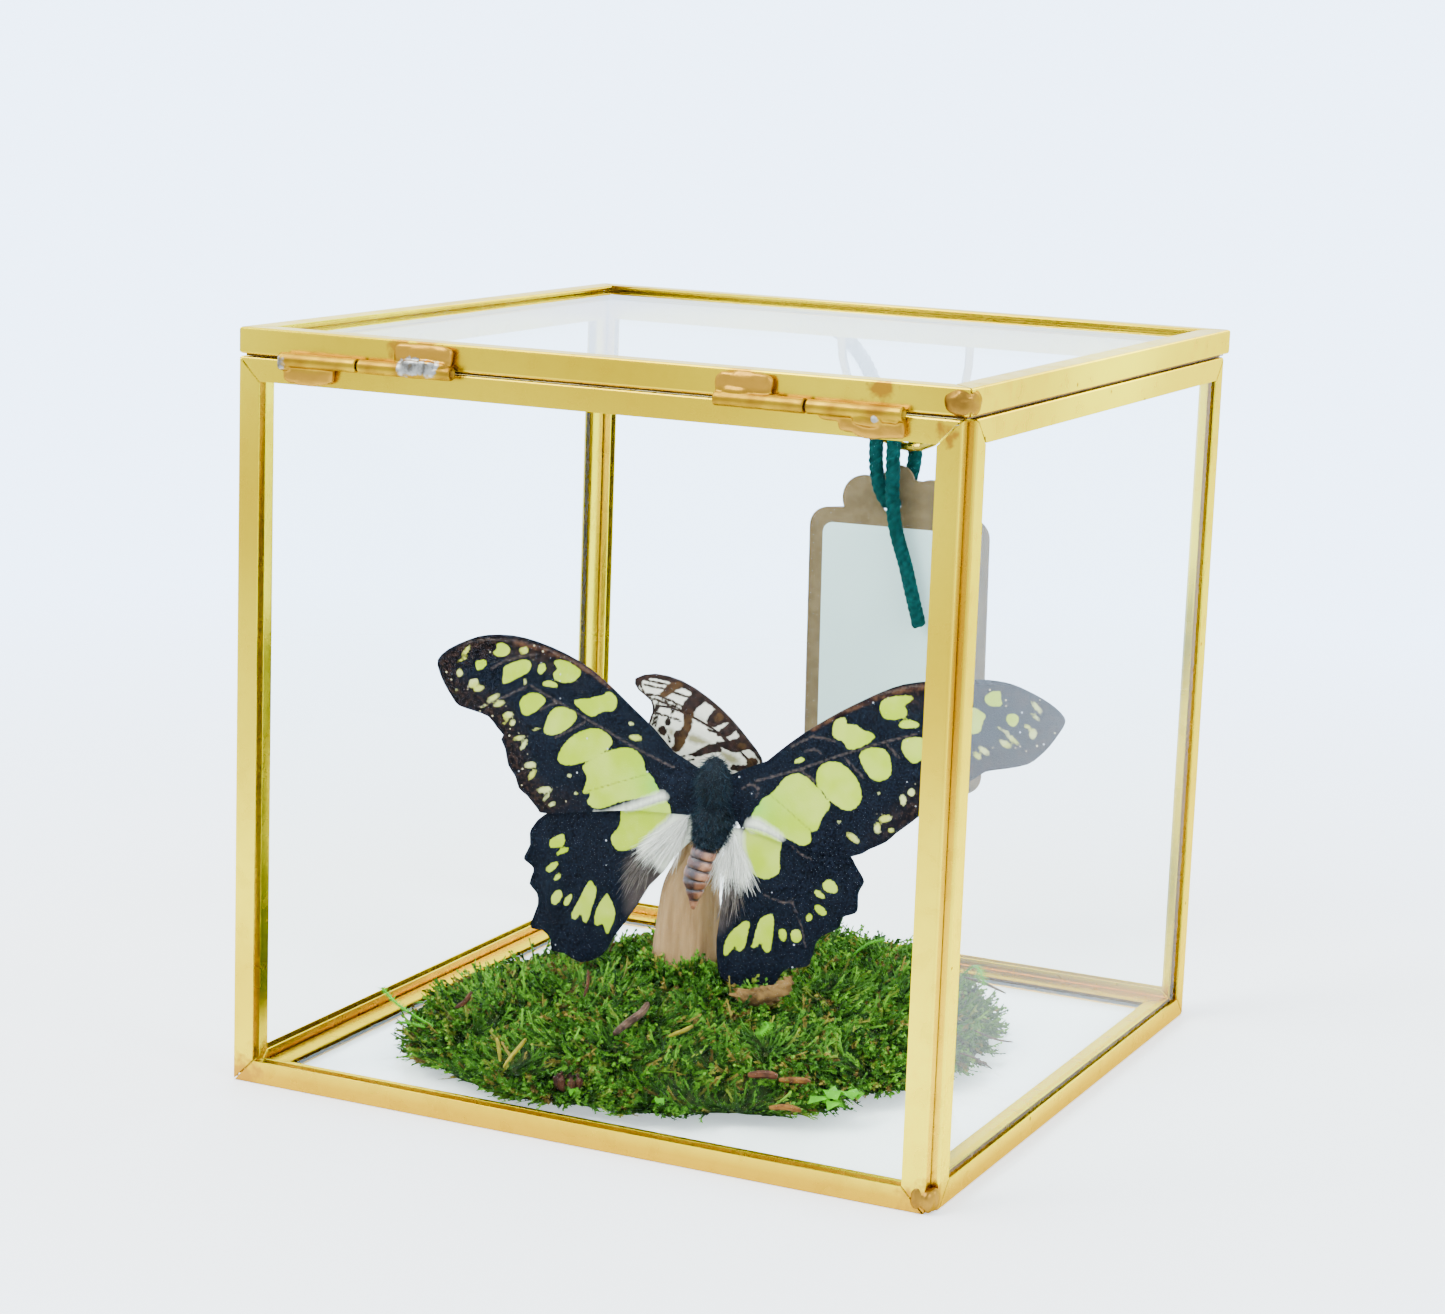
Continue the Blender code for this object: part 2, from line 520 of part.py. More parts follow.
def moss_radius(angle):
    """The mound's radius by direction, between the values of every 30 degrees."""
    share = math.degrees(angle) % 360 / 30
    first = int(share)
    blend = (1 - math.cos(math.pi * (share - first))) / 2
    count = len(MOSS_RADII)
    radius = MOSS_RADII[first % count] * (1 - blend) + MOSS_RADII[(first + 1) % count] * blend
    return radius * MM * (1 + 0.015 * math.sin(7 * angle + 1) + 0.012 * math.sin(13 * angle))


def moss_height(share, angle):
    """The mound's height by share of its radius, with the rise at its back right."""
    rise = MOSS_RISE * max(0, math.cos(angle - MOSS_RISE_ANGLE)) ** 2 * share ** 2 * (1 - share ** 8)
    for (a, low), (b, high) in zip(MOSS_HEIGHTS, MOSS_HEIGHTS[1:]):
        if share <= b:
            break
    return rise + (low + (high - low) * (share - a) / (b - a)) * MM


def add_moss(builder):
    """A low dome from the upper half of a sphere, with the hole that the post stands in."""
    bm = bmesh.new()
    bmesh.ops.create_uvsphere(bm, u_segments=42, v_segments=18, radius=1.0)
    bmesh.ops.bisect_plane(bm, geom=[*bm.verts, *bm.edges, *bm.faces], dist=0.0001, plane_co=(0, 0, 0),
                           plane_no=(0, 0, 1), clear_inner=True)
    rim = bmesh.ops.extrude_edge_only(bm, edges=[edge for edge in bm.edges if edge.is_boundary])
    foot = [item for item in rim["geom"] if isinstance(item, bmesh.types.BMVert)]
    for vertex in bm.verts:
        angle = math.atan2(vertex.co.y, vertex.co.x)
        share = min(math.hypot(vertex.co.x, vertex.co.y), 1.0)
        radius = moss_radius(angle) * share
        x = MOSS_CENTRE[0] + radius * math.cos(angle)
        y = MOSS_CENTRE[1] + radius * math.sin(angle)
        bump = 0.25 * MM * math.sin(x / (2.9 * MM) + 1) * math.sin(y / (3.3 * MM)) * share
        height = 0 if vertex in foot else moss_height(share, angle) + bump
        vertex.co = (x, y, MOSS_BOTTOM + height)
    bmesh.ops.holes_fill(bm, edges=[edge for edge in bm.edges if edge.is_boundary])
    bmesh.ops.recalc_face_normals(bm, faces=bm.faces)
    mesh = bpy.data.meshes.new("moss")
    bm.to_mesh(mesh)
    bm.free()
    moss = builder.add("moss", mesh, "moss", smooth_angle=40)
    x, y = POST_LINE[0][0] * MM, POST_LINE[0][1] * MM
    hole = cylinder_mesh((x, y, 0), (x, y, 20 * MM), POST_HOLE, segments=24)
    builder.cutter("moss_post_hole", hole, moss, "DIFFERENCE")


def add_round_body(builder, name, line, material, sides, smooth_angle=50):
    """A closed body of round sections along a line of x, y, z and radius in millimetres."""
    points = [Vector(item[:3]) * MM for item in line]
    radii = [item[3] * MM for item in line]
    return builder.add(name, tube(points, radii, sides), material, smooth_angle=smooth_angle)


def abdomen_line(ends, segments):
    """Round sections along the abdomen, drawn in a little between its segments."""
    line = []
    for i in range(2 * segments + 1):
        share = i / (2 * segments)
        a, b, t = (ends[0], ends[1], 2 * share) if share < 0.5 else (ends[1], ends[2], 2 * share - 1)
        x, y, z, radius = (p + (q - p) * t for p, q in zip(a, b))
        groove = 0.1 if i % 2 == 0 and i else 0.0
        line.append((x, y, z, radius * (1 - groove)))
    return line


def add_insect_body(builder, name, torso, abdomen, segments, legs, material):
    """Head, thorax and segmented abdomen in one piece, with the legs joined on."""
    part = add_round_body(builder, name, torso + abdomen_line(abdomen, segments), material, 12)
    for number, leg in enumerate(legs, 1):
        points = [point * MM for point in smooth(leg, 2)]
        radii = [LEG_RADIUS * (1.25 - 0.5 * i / (len(points) - 1)) for i in range(len(points))]
        builder.cutter(f"{name}_leg_{number}", tube(points, radii, 6), part, "UNION")


def wing_matrix(origin, slant, side):
    """Stands a wing's outline up in the XZ plane, turned about Z by the slant of its side."""
    stand = Matrix.Rotation(math.radians(90), 4, "X")
    return Matrix.Translation(origin) @ Matrix.Rotation(side * slant, 4, "Z") @ stand


def add_wing(builder, name, outline, thickness, matrix, side, material):
    points = [(side * x * MM, z * MM) for x, z in outline]
    builder.add(name, flat_plate([tuple(p) for p in smooth(points, 2, closed=True)], thickness, matrix), material)


def add_front_butterfly(builder):
    add_insect_body(builder, "butterfly_body", FRONT_TORSO, FRONT_ABDOMEN, FRONT_SEGMENTS, FRONT_LEGS,
                    "dark_body")
    for side_name, side, slant, forewing, hindwing in (
            ("left", -1, LEFT_SLANT, LEFT_FOREWING, LEFT_HINDWING),
            ("right", 1, RIGHT_SLANT, RIGHT_FOREWING, RIGHT_HINDWING)):
        for wing, y, outline in (("forewing", FOREWING_Y, forewing), ("hindwing", HINDWING_Y, hindwing)):
            matrix = wing_matrix((0, y, 0), slant, side)
            add_wing(builder, f"butterfly_{wing}_{side_name}", outline, WING_THICKNESS, matrix, side, "dark_wing")


def add_small_butterfly(builder):
    add_insect_body(builder, "small_butterfly_body", SMALL_TORSO, SMALL_ABDOMEN, SMALL_SEGMENTS, SMALL_LEGS,
                    "pale_body")
    step = SMALL_WING_THICKNESS + GAP
    normal = Vector((math.sin(SMALL_SLANT), -math.cos(SMALL_SLANT), 0))
    for wing, outline, place in (("hindwing_near", SMALL_HINDWING, 1.5), ("forewing_near", SMALL_FOREWING, 0.5),
                                 ("forewing_far", SMALL_FOREWING, -0.5), ("hindwing_far", SMALL_HINDWING, -1.5)):
        origin = Vector((*SMALL_PLANE_POINT, 0)) + normal * step * place
        matrix = wing_matrix(origin, SMALL_SLANT, 1)
        add_wing(builder, f"small_butterfly_{wing}", outline, SMALL_WING_THICKNESS, matrix, 1, "pale_wing")


def main():
    builder = Builder()
    add_case(builder)
    add_hinges(builder)
    add_pull(builder)
    add_tag(builder)
    add_moss(builder)
    add_round_body(builder, "post", POST_LINE, "wood", 16)
    add_round_body(builder, "bark_chip", BARK_LINE, "bark", 8)
    add_front_butterfly(builder)
    add_small_butterfly(builder)


main()
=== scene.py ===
"""Looks of a glass display case with two mounted butterflies on moss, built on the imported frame."""
import json
import math
from contextlib import contextmanager

import bmesh
import bpy
import numpy as np
from mathutils import Matrix, Vector, noise
from mathutils.geometry import delaunay_2d_cdt

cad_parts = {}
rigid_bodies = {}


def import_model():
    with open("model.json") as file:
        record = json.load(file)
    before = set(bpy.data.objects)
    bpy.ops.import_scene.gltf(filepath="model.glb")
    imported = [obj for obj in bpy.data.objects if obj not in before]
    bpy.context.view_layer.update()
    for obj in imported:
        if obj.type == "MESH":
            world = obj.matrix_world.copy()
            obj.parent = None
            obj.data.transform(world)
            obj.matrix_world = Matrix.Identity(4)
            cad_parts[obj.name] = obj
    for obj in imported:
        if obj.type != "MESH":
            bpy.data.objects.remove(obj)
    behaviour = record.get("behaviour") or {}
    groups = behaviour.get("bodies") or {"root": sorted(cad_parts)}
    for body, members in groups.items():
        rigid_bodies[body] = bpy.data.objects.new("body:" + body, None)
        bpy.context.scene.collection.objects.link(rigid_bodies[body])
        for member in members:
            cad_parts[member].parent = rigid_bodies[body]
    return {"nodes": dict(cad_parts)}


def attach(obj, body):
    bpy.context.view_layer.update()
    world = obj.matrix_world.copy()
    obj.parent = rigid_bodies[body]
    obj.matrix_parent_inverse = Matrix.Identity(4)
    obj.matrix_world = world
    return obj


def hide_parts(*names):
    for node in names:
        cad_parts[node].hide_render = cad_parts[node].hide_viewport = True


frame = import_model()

bl_info = {
    "name": "Butterfly display case",
    "version": (1, 0, 0),
    "blender": (4, 5, 0),
    "location": "3D View > Sidebar > Butterfly Case",
    "description": "Builds the finishes and fine pieces of a glass butterfly case",
    "category": "Add Mesh",
}

MM = 0.001
UP = np.array([0, 0, 1.0])
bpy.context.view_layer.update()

# The camera stands where the photograph was taken from
CAMERA_AZIMUTH = math.radians(25.205)
CAMERA_ELEVATION = math.radians(10.847)
CAMERA_ROLL = math.radians(2.078)
CAMERA_DISTANCE = 458.34 * MM
CAMERA_TARGET = (0, 0, 50 * MM)
CAMERA_SLIDE = (-3.385 * MM, 4.921 * MM)
CAMERA_SENSOR = 36.0
CAMERA_LENS = 83.33

# Twine of the tag: its two tails, in millimetres, from the tag's hole
TWINE_UP = [
    (-1.9, 53.55, 70.0), (-1.95, 52.8, 70.05), (-2.35, 52.1, 70.7), (-3.0, 51.7, 72.2),
    (-3.5, 51.4, 74.2), (-3.7, 51.1, 76.6), (-3.75, 51.0, 79.5), (-3.9, 51.2, 82.4),
    (-4.6, 51.9, 85.3), (-6.3, 52.8, 88.3), (-8.9, 53.5, 91.2), (-11.9, 53.7, 93.4),
    (-15.3, 53.6, 95.3), (-18.5, 53.4, 97.0),
]
TWINE_DOWN = [
    (-1.9, 53.85, 70.0), (-1.8, 54.6, 70.05), (-1.4, 55.25, 70.7), (-0.5, 55.6, 72.2),
    (0.4, 55.6, 74.6), (0.8, 55.4, 77.5), (0.8, 54.8, 80.2), (0.3, 53.3, 82.0),
    (-0.4, 51.9, 81.8), (-0.85, 51.1, 79.9), (-0.9, 50.98, 77.0), (-0.8, 50.98, 73.8),
    (-0.65, 50.98, 70.6), (0.1, 51.0, 66.2), (1.6, 51.05, 61.9), (3.0, 51.1, 57.2),
    (4.4, 51.2, 52.4),
]
TWINE_STRANDS = 3
TWINE_PITCH = 3.4 * MM

# Wings of the front butterfly: the planes they lie in
FOREWING_PLANE_Y = -8.8 * MM
HINDWING_PLANE_Y = -8.2 * MM
LEFT_SLANT = -math.atan(0.047)
RIGHT_SLANT = math.atan(0.24)
SMALL_PLANE = (2.74 * MM, -1.5 * MM)
SMALL_SLANT = math.atan(0.24)

# Wing marks in millimetres, across the wing from the body and up from the base.
# A blob is x, z, half length, half width, tilt in degrees; a patch is an outline.
LEFT_FOREWING_GREEN = [
    [(-35.2, 54.1), (-34.4, 54.3), (-33.4, 54.0), (-33.0, 53.3), (-33.5, 52.6), (-34.6, 52.2), (-35.8, 52.4),
     (-35.9, 52.8), (-35.2, 53.2), (-35.3, 53.7)],
    [(-38.7, 51.1), (-38.0, 51.4), (-37.0, 51.5), (-36.8, 51.0), (-37.4, 50.2), (-38.3, 49.8), (-38.7, 50.2)],
    [(-34.1, 50.9), (-33.0, 51.5), (-31.4, 52.2), (-30.1, 52.4), (-29.5, 51.7), (-29.8, 50.8), (-30.8, 50.1),
     (-32.2, 49.3), (-33.8, 48.4), (-34.3, 48.7), (-34.0, 50.0)],
    [(-28.6, 51.3), (-28.2, 52.0), (-27.4, 52.2), (-27.1, 51.6), (-27.6, 50.8), (-28.1, 50.5), (-28.5, 50.8)],
    [(-27.8, 49.4), (-27.1, 49.8), (-26.2, 49.9), (-25.3, 49.5), (-25.1, 49.1), (-26.2, 49.0), (-27.5, 49.0)],
    [(-26.1, 52.6), (-25.3, 53.0), (-24.0, 53.0), (-22.8, 52.6), (-21.6, 52.0), (-21.6, 51.3), (-22.4, 50.4),
     (-23.6, 49.9), (-25.0, 49.8), (-26.0, 50.4), (-26.0, 51.1), (-25.2, 51.6), (-25.5, 52.0)],
    [(-31.4, 46.2), (-30.6, 47.3), (-28.8, 48.0), (-27.3, 47.5), (-27.0, 46.9), (-28.0, 45.8), (-29.4, 44.7),
     (-30.5, 44.4), (-31.0, 44.8), (-31.2, 45.6)],
    [(-27.4, 42.6), (-27.0, 43.9), (-26.4, 45.4), (-25.4, 46.3), (-24.0, 46.5), (-22.4, 46.1), (-21.9, 45.6),
     (-22.4, 44.4), (-23.8, 43.2), (-25.4, 42.3), (-26.8, 42.2)],
    [(-25.0, 39.2), (-24.2, 41.0), (-22.6, 42.6), (-20.6, 43.8), (-18.8, 44.2), (-17.2, 43.7), (-16.3, 42.8),
     (-16.5, 41.9), (-18.0, 40.7), (-20.4, 39.2), (-22.6, 38.4), (-24.2, 38.3), (-24.9, 38.7)],
    [(-21.1, 38.4), (-20.0, 39.3), (-18.0, 40.6), (-15.5, 41.8), (-13.4, 42.2), (-12.0, 41.6), (-11.2, 40.5),
     (-11.1, 39.4), (-10.4, 38.9), (-9.9, 38.7), (-9.3, 37.7), (-8.4, 36.4), (-10.8, 35.6), (-13.0, 34.9),
     (-15.0, 34.3), (-17.0, 33.2), (-18.8, 32.7), (-20.2, 33.5), (-19.6, 34.5), (-19.4, 35.1), (-20.9, 34.5),
     (-20.5, 35.6), (-20.1, 36.9), (-20.5, 37.6)],
    [(-22.8, 47.4), (-21.6, 48.0), (-20.4, 48.0), (-19.4, 48.5), (-18.0, 48.8), (-17.5, 49.4), (-16.8, 49.5),
     (-15.9, 48.8), (-15.8, 48.0), (-16.1, 47.2), (-16.6, 46.8), (-17.8, 46.7), (-18.6, 46.3), (-19.2, 45.8),
     (-19.8, 45.6), (-20.8, 46.0), (-21.8, 46.7)],
    [(-15.2, 32.3), (-13.3, 33.2), (-9.4, 34.9), (-7.0, 35.9), (-6.5, 31.0), (-15.2, 31.0)],
]
LEFT_FOLD = [
    (-19.4, 32.4), (-17.1, 32.7), (-14.6, 33.9), (-10.2, 36.0), (-8.1, 37.1), (-6.8, 35.9), (-9.4, 34.7),
    (-13.3, 32.9), (-15.2, 31.8), (-18.0, 31.3),
]
LEFT_FOREWING_PALE = [
    (-30.8, 53.6, 0.75, 0.5, 15), (-12.7, 43.6, 0.95, 0.42, 0), (-13.5, 45.5, 0.35, 0.25, 0),
    (-39.0, 47.9, 0.9, 0.6, 30), (-38.1, 47.3, 0.9, 0.4, 20), (-41.4, 49.1, 0.55, 0.5, 40),
    (-40.3, 52.4, 0.9, 0.3, 50), (-40.9, 51.1, 0.7, 0.18, 30), (-35.6, 46.3, 1.1, 0.35, 30),
    (-34.6, 45.6, 0.9, 0.35, 25), (-33.2, 44.1, 0.85, 0.45, 22), (-32.4, 43.1, 0.5, 0.35, 40),
    (-31.3, 41.1, 0.9, 0.3, 20), (-30.5, 40.2, 0.85, 0.3, 55), (-29.4, 37.5, 0.9, 0.42, 15),
    (-29.1, 36.1, 0.9, 0.35, 50), (-27.0, 34.3, 1.15, 0.42, 15), (-26.6, 33.4, 0.75, 0.2, 50),
    (-25.7, 32.4, 0.55, 0.28, 35), (-23.0, 36.9, 0.3, 0.25, 0), (-21.8, 34.5, 0.32, 0.22, 30),
    (-30.5, 49.2, 0.25, 0.5, 0), (-41.9, 46.4, 0.35, 0.15, 60), (-37.0, 45.0, 0.6, 0.12, 30),
    (-28.6, 42.7, 0.5, 0.12, 20), (-33.6, 43.0, 0.4, 0.14, 30),
]
LEFT_FOREWING_VEINS = [
    [(-29.5, 48.8), (-27.5, 48.0), (-24.0, 46.7), (-20.0, 45.1), (-16.0, 43.5), (-12.0, 42.0), (-6.5, 40.3)],
    [(-36.2, 50.3), (-33.8, 51.8), (-31.0, 52.8), (-28.5, 53.4)],
    [(-25.5, 41.9), (-22.5, 43.6), (-20.8, 44.7)],
    [(-30.2, 48.6), (-33.5, 46.8), (-38.0, 44.6)], [(-28.0, 45.6), (-25.4, 46.9)],
    [(-41.0, 53.5), (-36.0, 54.6), (-31.0, 54.8), (-27.0, 54.2), (-22.0, 52.8), (-17.5, 50.4)],
]
LEFT_FOREWING_BAND_LINE = [(-20.6, 34.8), (-18.5, 35.7), (-14.5, 37.3), (-10.4, 38.9)]
LEFT_FOREWING_COPPER = [(-32.0, 54.5), (-28.0, 54.2), (-24.0, 53.3), (-20.0, 51.9), (-17.0, 50.2)]

LEFT_HINDWING_GREEN = [
    [(-26.4, 26.7), (-26.0, 27.3), (-25.0, 27.9), (-24.1, 28.3), (-23.8, 27.9), (-23.8, 26.9), (-24.2, 26.5),
     (-25.3, 26.1), (-26.2, 26.0)],
    [(-25.2, 25.3), (-24.5, 26.0), (-23.6, 26.4), (-23.0, 26.4), (-23.3, 25.9), (-24.2, 25.4), (-25.0, 25.0)],
    [(-26.8, 22.7), (-26.4, 23.4), (-25.4, 24.1), (-24.8, 24.2), (-24.7, 23.7), (-25.4, 22.9), (-26.3, 22.3)],
    [(-25.6, 21.7), (-24.9, 22.3), (-24.4, 22.8), (-24.3, 22.2), (-24.6, 21.6), (-25.3, 21.4)],
    [(-25.8, 18.6), (-25.4, 19.5), (-24.7, 20.2), (-24.2, 20.2), (-23.8, 19.6), (-24.2, 18.7), (-24.9, 17.9),
     (-25.6, 18.0)],
    [(-23.8, 18.3), (-23.4, 19.1), (-22.9, 19.7), (-22.3, 19.9), (-22.4, 19.2), (-22.9, 18.2), (-23.5, 18.0)],
    [(-22.4, 16.4), (-22.2, 17.5), (-21.3, 19.0), (-20.4, 21.0), (-19.6, 22.3), (-19.3, 22.3), (-18.9, 21.7),
     (-18.4, 21.5), (-18.6, 20.0), (-19.2, 18.2), (-19.7, 16.4), (-20.1, 16.0), (-20.6, 16.5), (-20.7, 17.4),
     (-21.2, 17.0), (-21.6, 16.3)],
    [(-18.7, 16.4), (-18.6, 17.6), (-18.0, 19.2), (-17.2, 20.4), (-16.7, 20.9), (-16.4, 20.5), (-15.6, 19.2),
     (-15.3, 18.2), (-15.6, 17.0), (-16.3, 15.3), (-16.7, 14.9), (-17.0, 15.6), (-17.2, 16.6), (-17.8, 16.2),
     (-18.4, 15.9)],
    [(-16.4, 28.7), (-16.1, 27.9), (-15.3, 27.3), (-14.4, 27.3), (-13.0, 27.8), (-12.0, 28.4), (-9.5, 31.0),
     (-7.2, 33.0), (-6.9, 34.6), (-14.9, 34.6), (-14.9, 31.6), (-15.2, 30.5), (-16.3, 29.3)],
]
LEFT_HINDWING_WHITE = [
    [(-12.2, 28.0), (-11.4, 26.5), (-10.5, 25.8), (-9.3, 26.4), (-8.0, 25.0), (-4.0, 29.0), (-4.0, 34.5),
     (-6.9, 34.6), (-7.2, 33.0), (-9.5, 31.0)],
    [(-14.9, 33.0), (-12.5, 33.6), (-9.0, 34.8), (-15.0, 34.8)],
]
LEFT_HINDWING_BROWN = [(-13.4, 27.0), (-13.6, 22.0), (-13.2, 18.0), (-7.0, 25.0), (-9.0, 27.0)]
LEFT_HINDWING_VEINS = [[(-13.0, 27.0), (-13.3, 22.0)]]
RIGHT_FOREWING_GREEN = [
    [(21.8, 51.3), (22.2, 52.3), (23.4, 52.8), (25.0, 53.1), (26.3, 53.1), (26.3, 52.6), (25.0, 51.7),
     (25.6, 51.2), (25.6, 50.3), (24.8, 49.9), (23.6, 49.6), (22.5, 49.8), (22.1, 50.5)],
    [(24.4, 49.0), (25.0, 49.7), (26.2, 49.9), (27.3, 49.5), (27.2, 48.9), (26.0, 48.7), (25.0, 48.6)],
    [(15.6, 47.4), (15.7, 48.5), (16.2, 49.2), (17.3, 49.6), (17.5, 49.0), (17.4, 48.6), (18.6, 48.6),
     (19.2, 48.5), (19.4, 48.0), (21.0, 47.7), (21.5, 47.2), (20.8, 46.4), (19.6, 45.6), (18.2, 45.1),
     (17.6, 45.4), (17.2, 46.2), (16.4, 46.4), (15.8, 46.8)],
    [(10.6, 43.0), (11.2, 43.5), (11.9, 43.7), (12.1, 43.2), (11.4, 42.8), (10.8, 42.6)],
    [(19.3, 44.6), (20.3, 45.5), (22.0, 45.8), (23.1, 45.4), (23.7, 44.2), (23.9, 42.4), (23.2, 41.4),
     (21.8, 41.0), (20.7, 41.8), (19.8, 43.2)],
    [(25.0, 46.3), (25.3, 47.1), (26.2, 47.5), (27.6, 47.7), (28.6, 46.8), (28.4, 45.2), (27.0, 43.8),
     (26.0, 44.4), (25.2, 45.4)],
    [(13.7, 41.4), (14.1, 42.6), (15.2, 43.3), (16.6, 43.4), (18.0, 42.6), (19.3, 41.2), (20.0, 39.4),
     (19.9, 37.9), (18.8, 36.9), (17.8, 36.7), (16.2, 37.6), (14.8, 38.9), (13.8, 40.2)],
    [(8.6, 39.4), (9.2, 40.4), (10.4, 41.2), (11.4, 41.4), (12.6, 40.8), (13.8, 39.8), (15.2, 38.2),
     (15.9, 37.1), (15.1, 36.2), (14.6, 35.0), (14.2, 33.7), (13.5, 33.5), (13.2, 33.6), (13.4, 31.9),
     (12.2, 31.3), (10.6, 32.0), (9.4, 32.4), (8.0, 33.3), (6.2, 34.4), (5.2, 34.4), (5.0, 35.0),
     (5.4, 35.7), (5.9, 36.4), (6.6, 37.6), (7.6, 38.1)],
    [(35.3, 53.5), (35.8, 54.3), (36.6, 54.7), (37.6, 54.6), (37.4, 53.8), (37.8, 53.0), (37.4, 52.6),
     (36.4, 52.5), (35.5, 52.9)],
    [(32.0, 51.6), (33.5, 52.3), (34.6, 52.0), (35.8, 51.2), (35.2, 50.4), (35.1, 49.0), (34.2, 48.6),
     (32.8, 48.8), (31.6, 49.8)],
    [(38.3, 51.2), (38.8, 51.8), (39.6, 51.8), (40.1, 51.2), (39.8, 50.3), (39.2, 50.0), (38.5, 50.4)],
    [(4.0, 33.1), (5.1, 33.3), (7.4, 32.7), (9.6, 31.7), (9.4, 29.5), (4.0, 29.5)],
]
RIGHT_FOLD = [
    (4.3, 34.3), (5.6, 35.1), (7.6, 34.0), (9.7, 32.8), (9.7, 31.5), (7.4, 32.5), (5.1, 33.1), (4.0, 33.2),
]
RIGHT_FOREWING_PALE = [
    (42.3, 52.9, 0.9, 0.28, -45), (42.2, 51.6, 0.6, 0.22, -30), (42.0, 49.3, 0.5, 0.7, 0),
    (41.2, 50.2, 0.5, 0.25, -20), (39.4, 48.3, 0.9, 0.32, -35), (38.4, 47.6, 0.8, 0.42, -25),
    (35.6, 46.5, 0.8, 0.38, -35), (34.8, 45.7, 0.6, 0.35, -35), (37.7, 49.6, 0.6, 0.14, -20),
    (38.5, 49.2, 0.35, 0.25, -30), (25.6, 38.9, 0.4, 0.72, 10), (26.7, 40.0, 0.5, 0.5, 0),
    (23.3, 36.1, 0.85, 0.48, 15), (22.3, 34.7, 0.42, 0.75, 0), (24.2, 34.6, 0.4, 0.28, 0),
    (19.1, 33.1, 0.95, 0.42, -35), (22.3, 39.5, 0.2, 0.2, 0), (17.1, 35.1, 0.25, 0.2, 0),
    (28.9, 51.5, 0.6, 0.7, 0), (31.5, 43.4, 0.6, 0.35, -30), (29.0, 41.8, 0.6, 0.35, -30),
]
RIGHT_FOREWING_VEINS = [
    [(5.5, 39.8), (8.5, 40.9), (11.4, 41.9), (16.8, 44.3), (22.0, 46.3), (27.0, 48.0)],
    [(11.4, 41.9), (13.8, 40.3)], [(17.6, 43.9), (20.2, 41.4)], [(23.2, 46.2), (24.8, 44.6)],
    [(10.0, 44.8), (11.6, 45.8), (13.0, 46.6), (16.0, 46.2)], [(12.0, 44.4), (13.4, 44.9), (14.2, 44.4)],
    [(3.6, 38.6), (4.8, 39.4), (6.0, 38.8), (5.6, 37.6)],
    [(9.5, 45.6), (14.0, 48.6), (20.0, 52.4), (26.0, 54.4), (33.0, 55.4)],
]
RIGHT_FOREWING_BAND_LINE = [(7.6, 38.0), (10.2, 36.0), (12.2, 34.4), (13.4, 33.5)]
RIGHT_FOREWING_COPPER = [(13.0, 47.6), (17.0, 50.2), (21.0, 52.3), (25.0, 53.9), (28.0, 54.5)]
RIGHT_HINDWING_GREEN = [
    [(14.9, 25.9), (15.2, 26.6), (15.9, 27.0), (16.6, 26.6), (17.1, 25.8), (17.0, 25.2), (16.3, 25.0),
     (15.3, 25.3)],
    [(13.8, 25.0), (14.3, 25.4), (15.0, 24.9), (15.5, 24.3), (15.0, 24.1), (14.1, 24.5)],
    [(13.9, 22.7), (14.2, 23.3), (14.8, 23.2), (15.5, 22.7), (15.7, 22.1), (15.2, 21.7), (14.6, 22.0)],
    [(12.7, 21.1), (13.0, 21.6), (13.3, 22.1), (13.7, 21.6), (13.8, 21.1), (13.2, 20.8)],
    [(10.8, 18.8), (11.0, 19.3), (11.6, 19.6), (12.1, 19.4), (12.4, 18.6), (12.2, 17.8), (11.6, 17.6),
     (11.1, 17.8)],
    [(9.2, 19.2), (9.6, 19.5), (10.2, 19.3), (10.3, 18.3), (10.1, 17.6), (9.5, 17.8), (9.2, 18.4)],
    [(5.4, 16.3), (5.8, 17.6), (6.1, 19.2), (6.6, 20.7), (7.1, 20.9), (7.6, 21.2), (8.0, 21.5), (8.4, 21.0),
     (8.5, 19.6), (8.3, 17.4), (8.1, 16.1), (7.6, 15.8), (7.1, 16.3), (6.9, 17.2), (6.6, 17.2), (6.2, 16.5)],
    [(1.6, 15.0), (1.7, 16.4), (2.2, 17.8), (3.2, 19.0), (4.3, 20.0), (4.9, 20.1), (5.2, 19.7), (4.9, 18.2),
     (4.6, 16.6), (4.2, 15.8), (3.6, 15.7), (3.3, 16.3), (3.1, 16.3), (2.6, 15.5), (1.9, 14.7)],
    [(3.6, 32.4), (4.4, 33.4), (9.3, 33.4), (9.0, 30.8), (8.8, 29.2), (9.0, 27.6), (8.6, 26.8), (7.8, 26.3),
     (6.8, 26.1), (5.8, 26.4), (5.0, 27.0), (4.2, 28.8), (3.6, 30.8)],
]
RIGHT_HINDWING_WHITE = [
    [(0.0, 32.5), (2.6, 33.0), (3.8, 32.6), (3.8, 30.4), (4.4, 28.6), (5.2, 26.8), (4.2, 25.6), (3.2, 24.2),
     (2.4, 25.0), (1.6, 26.0), (0.5, 25.3), (0.0, 26.0)],
    [(4.4, 32.6), (6.4, 32.8), (9.6, 31.8), (9.4, 34.0), (4.4, 34.0)],
]
RIGHT_HINDWING_BROWN = [(4.0, 26.0), (2.8, 22.0), (1.4, 19.0), (0.0, 18.0), (0.0, 27.0)]
RIGHT_HINDWING_VEINS = [
    [(7.0, 24.0), (8.4, 23.4), (9.6, 23.1), (10.8, 23.3), (11.1, 23.8)],
    [(10.8, 23.3), (12.2, 20.4), (13.0, 17.2)], [(9.8, 31.8), (11.4, 30.3), (13.4, 29.4)],
]

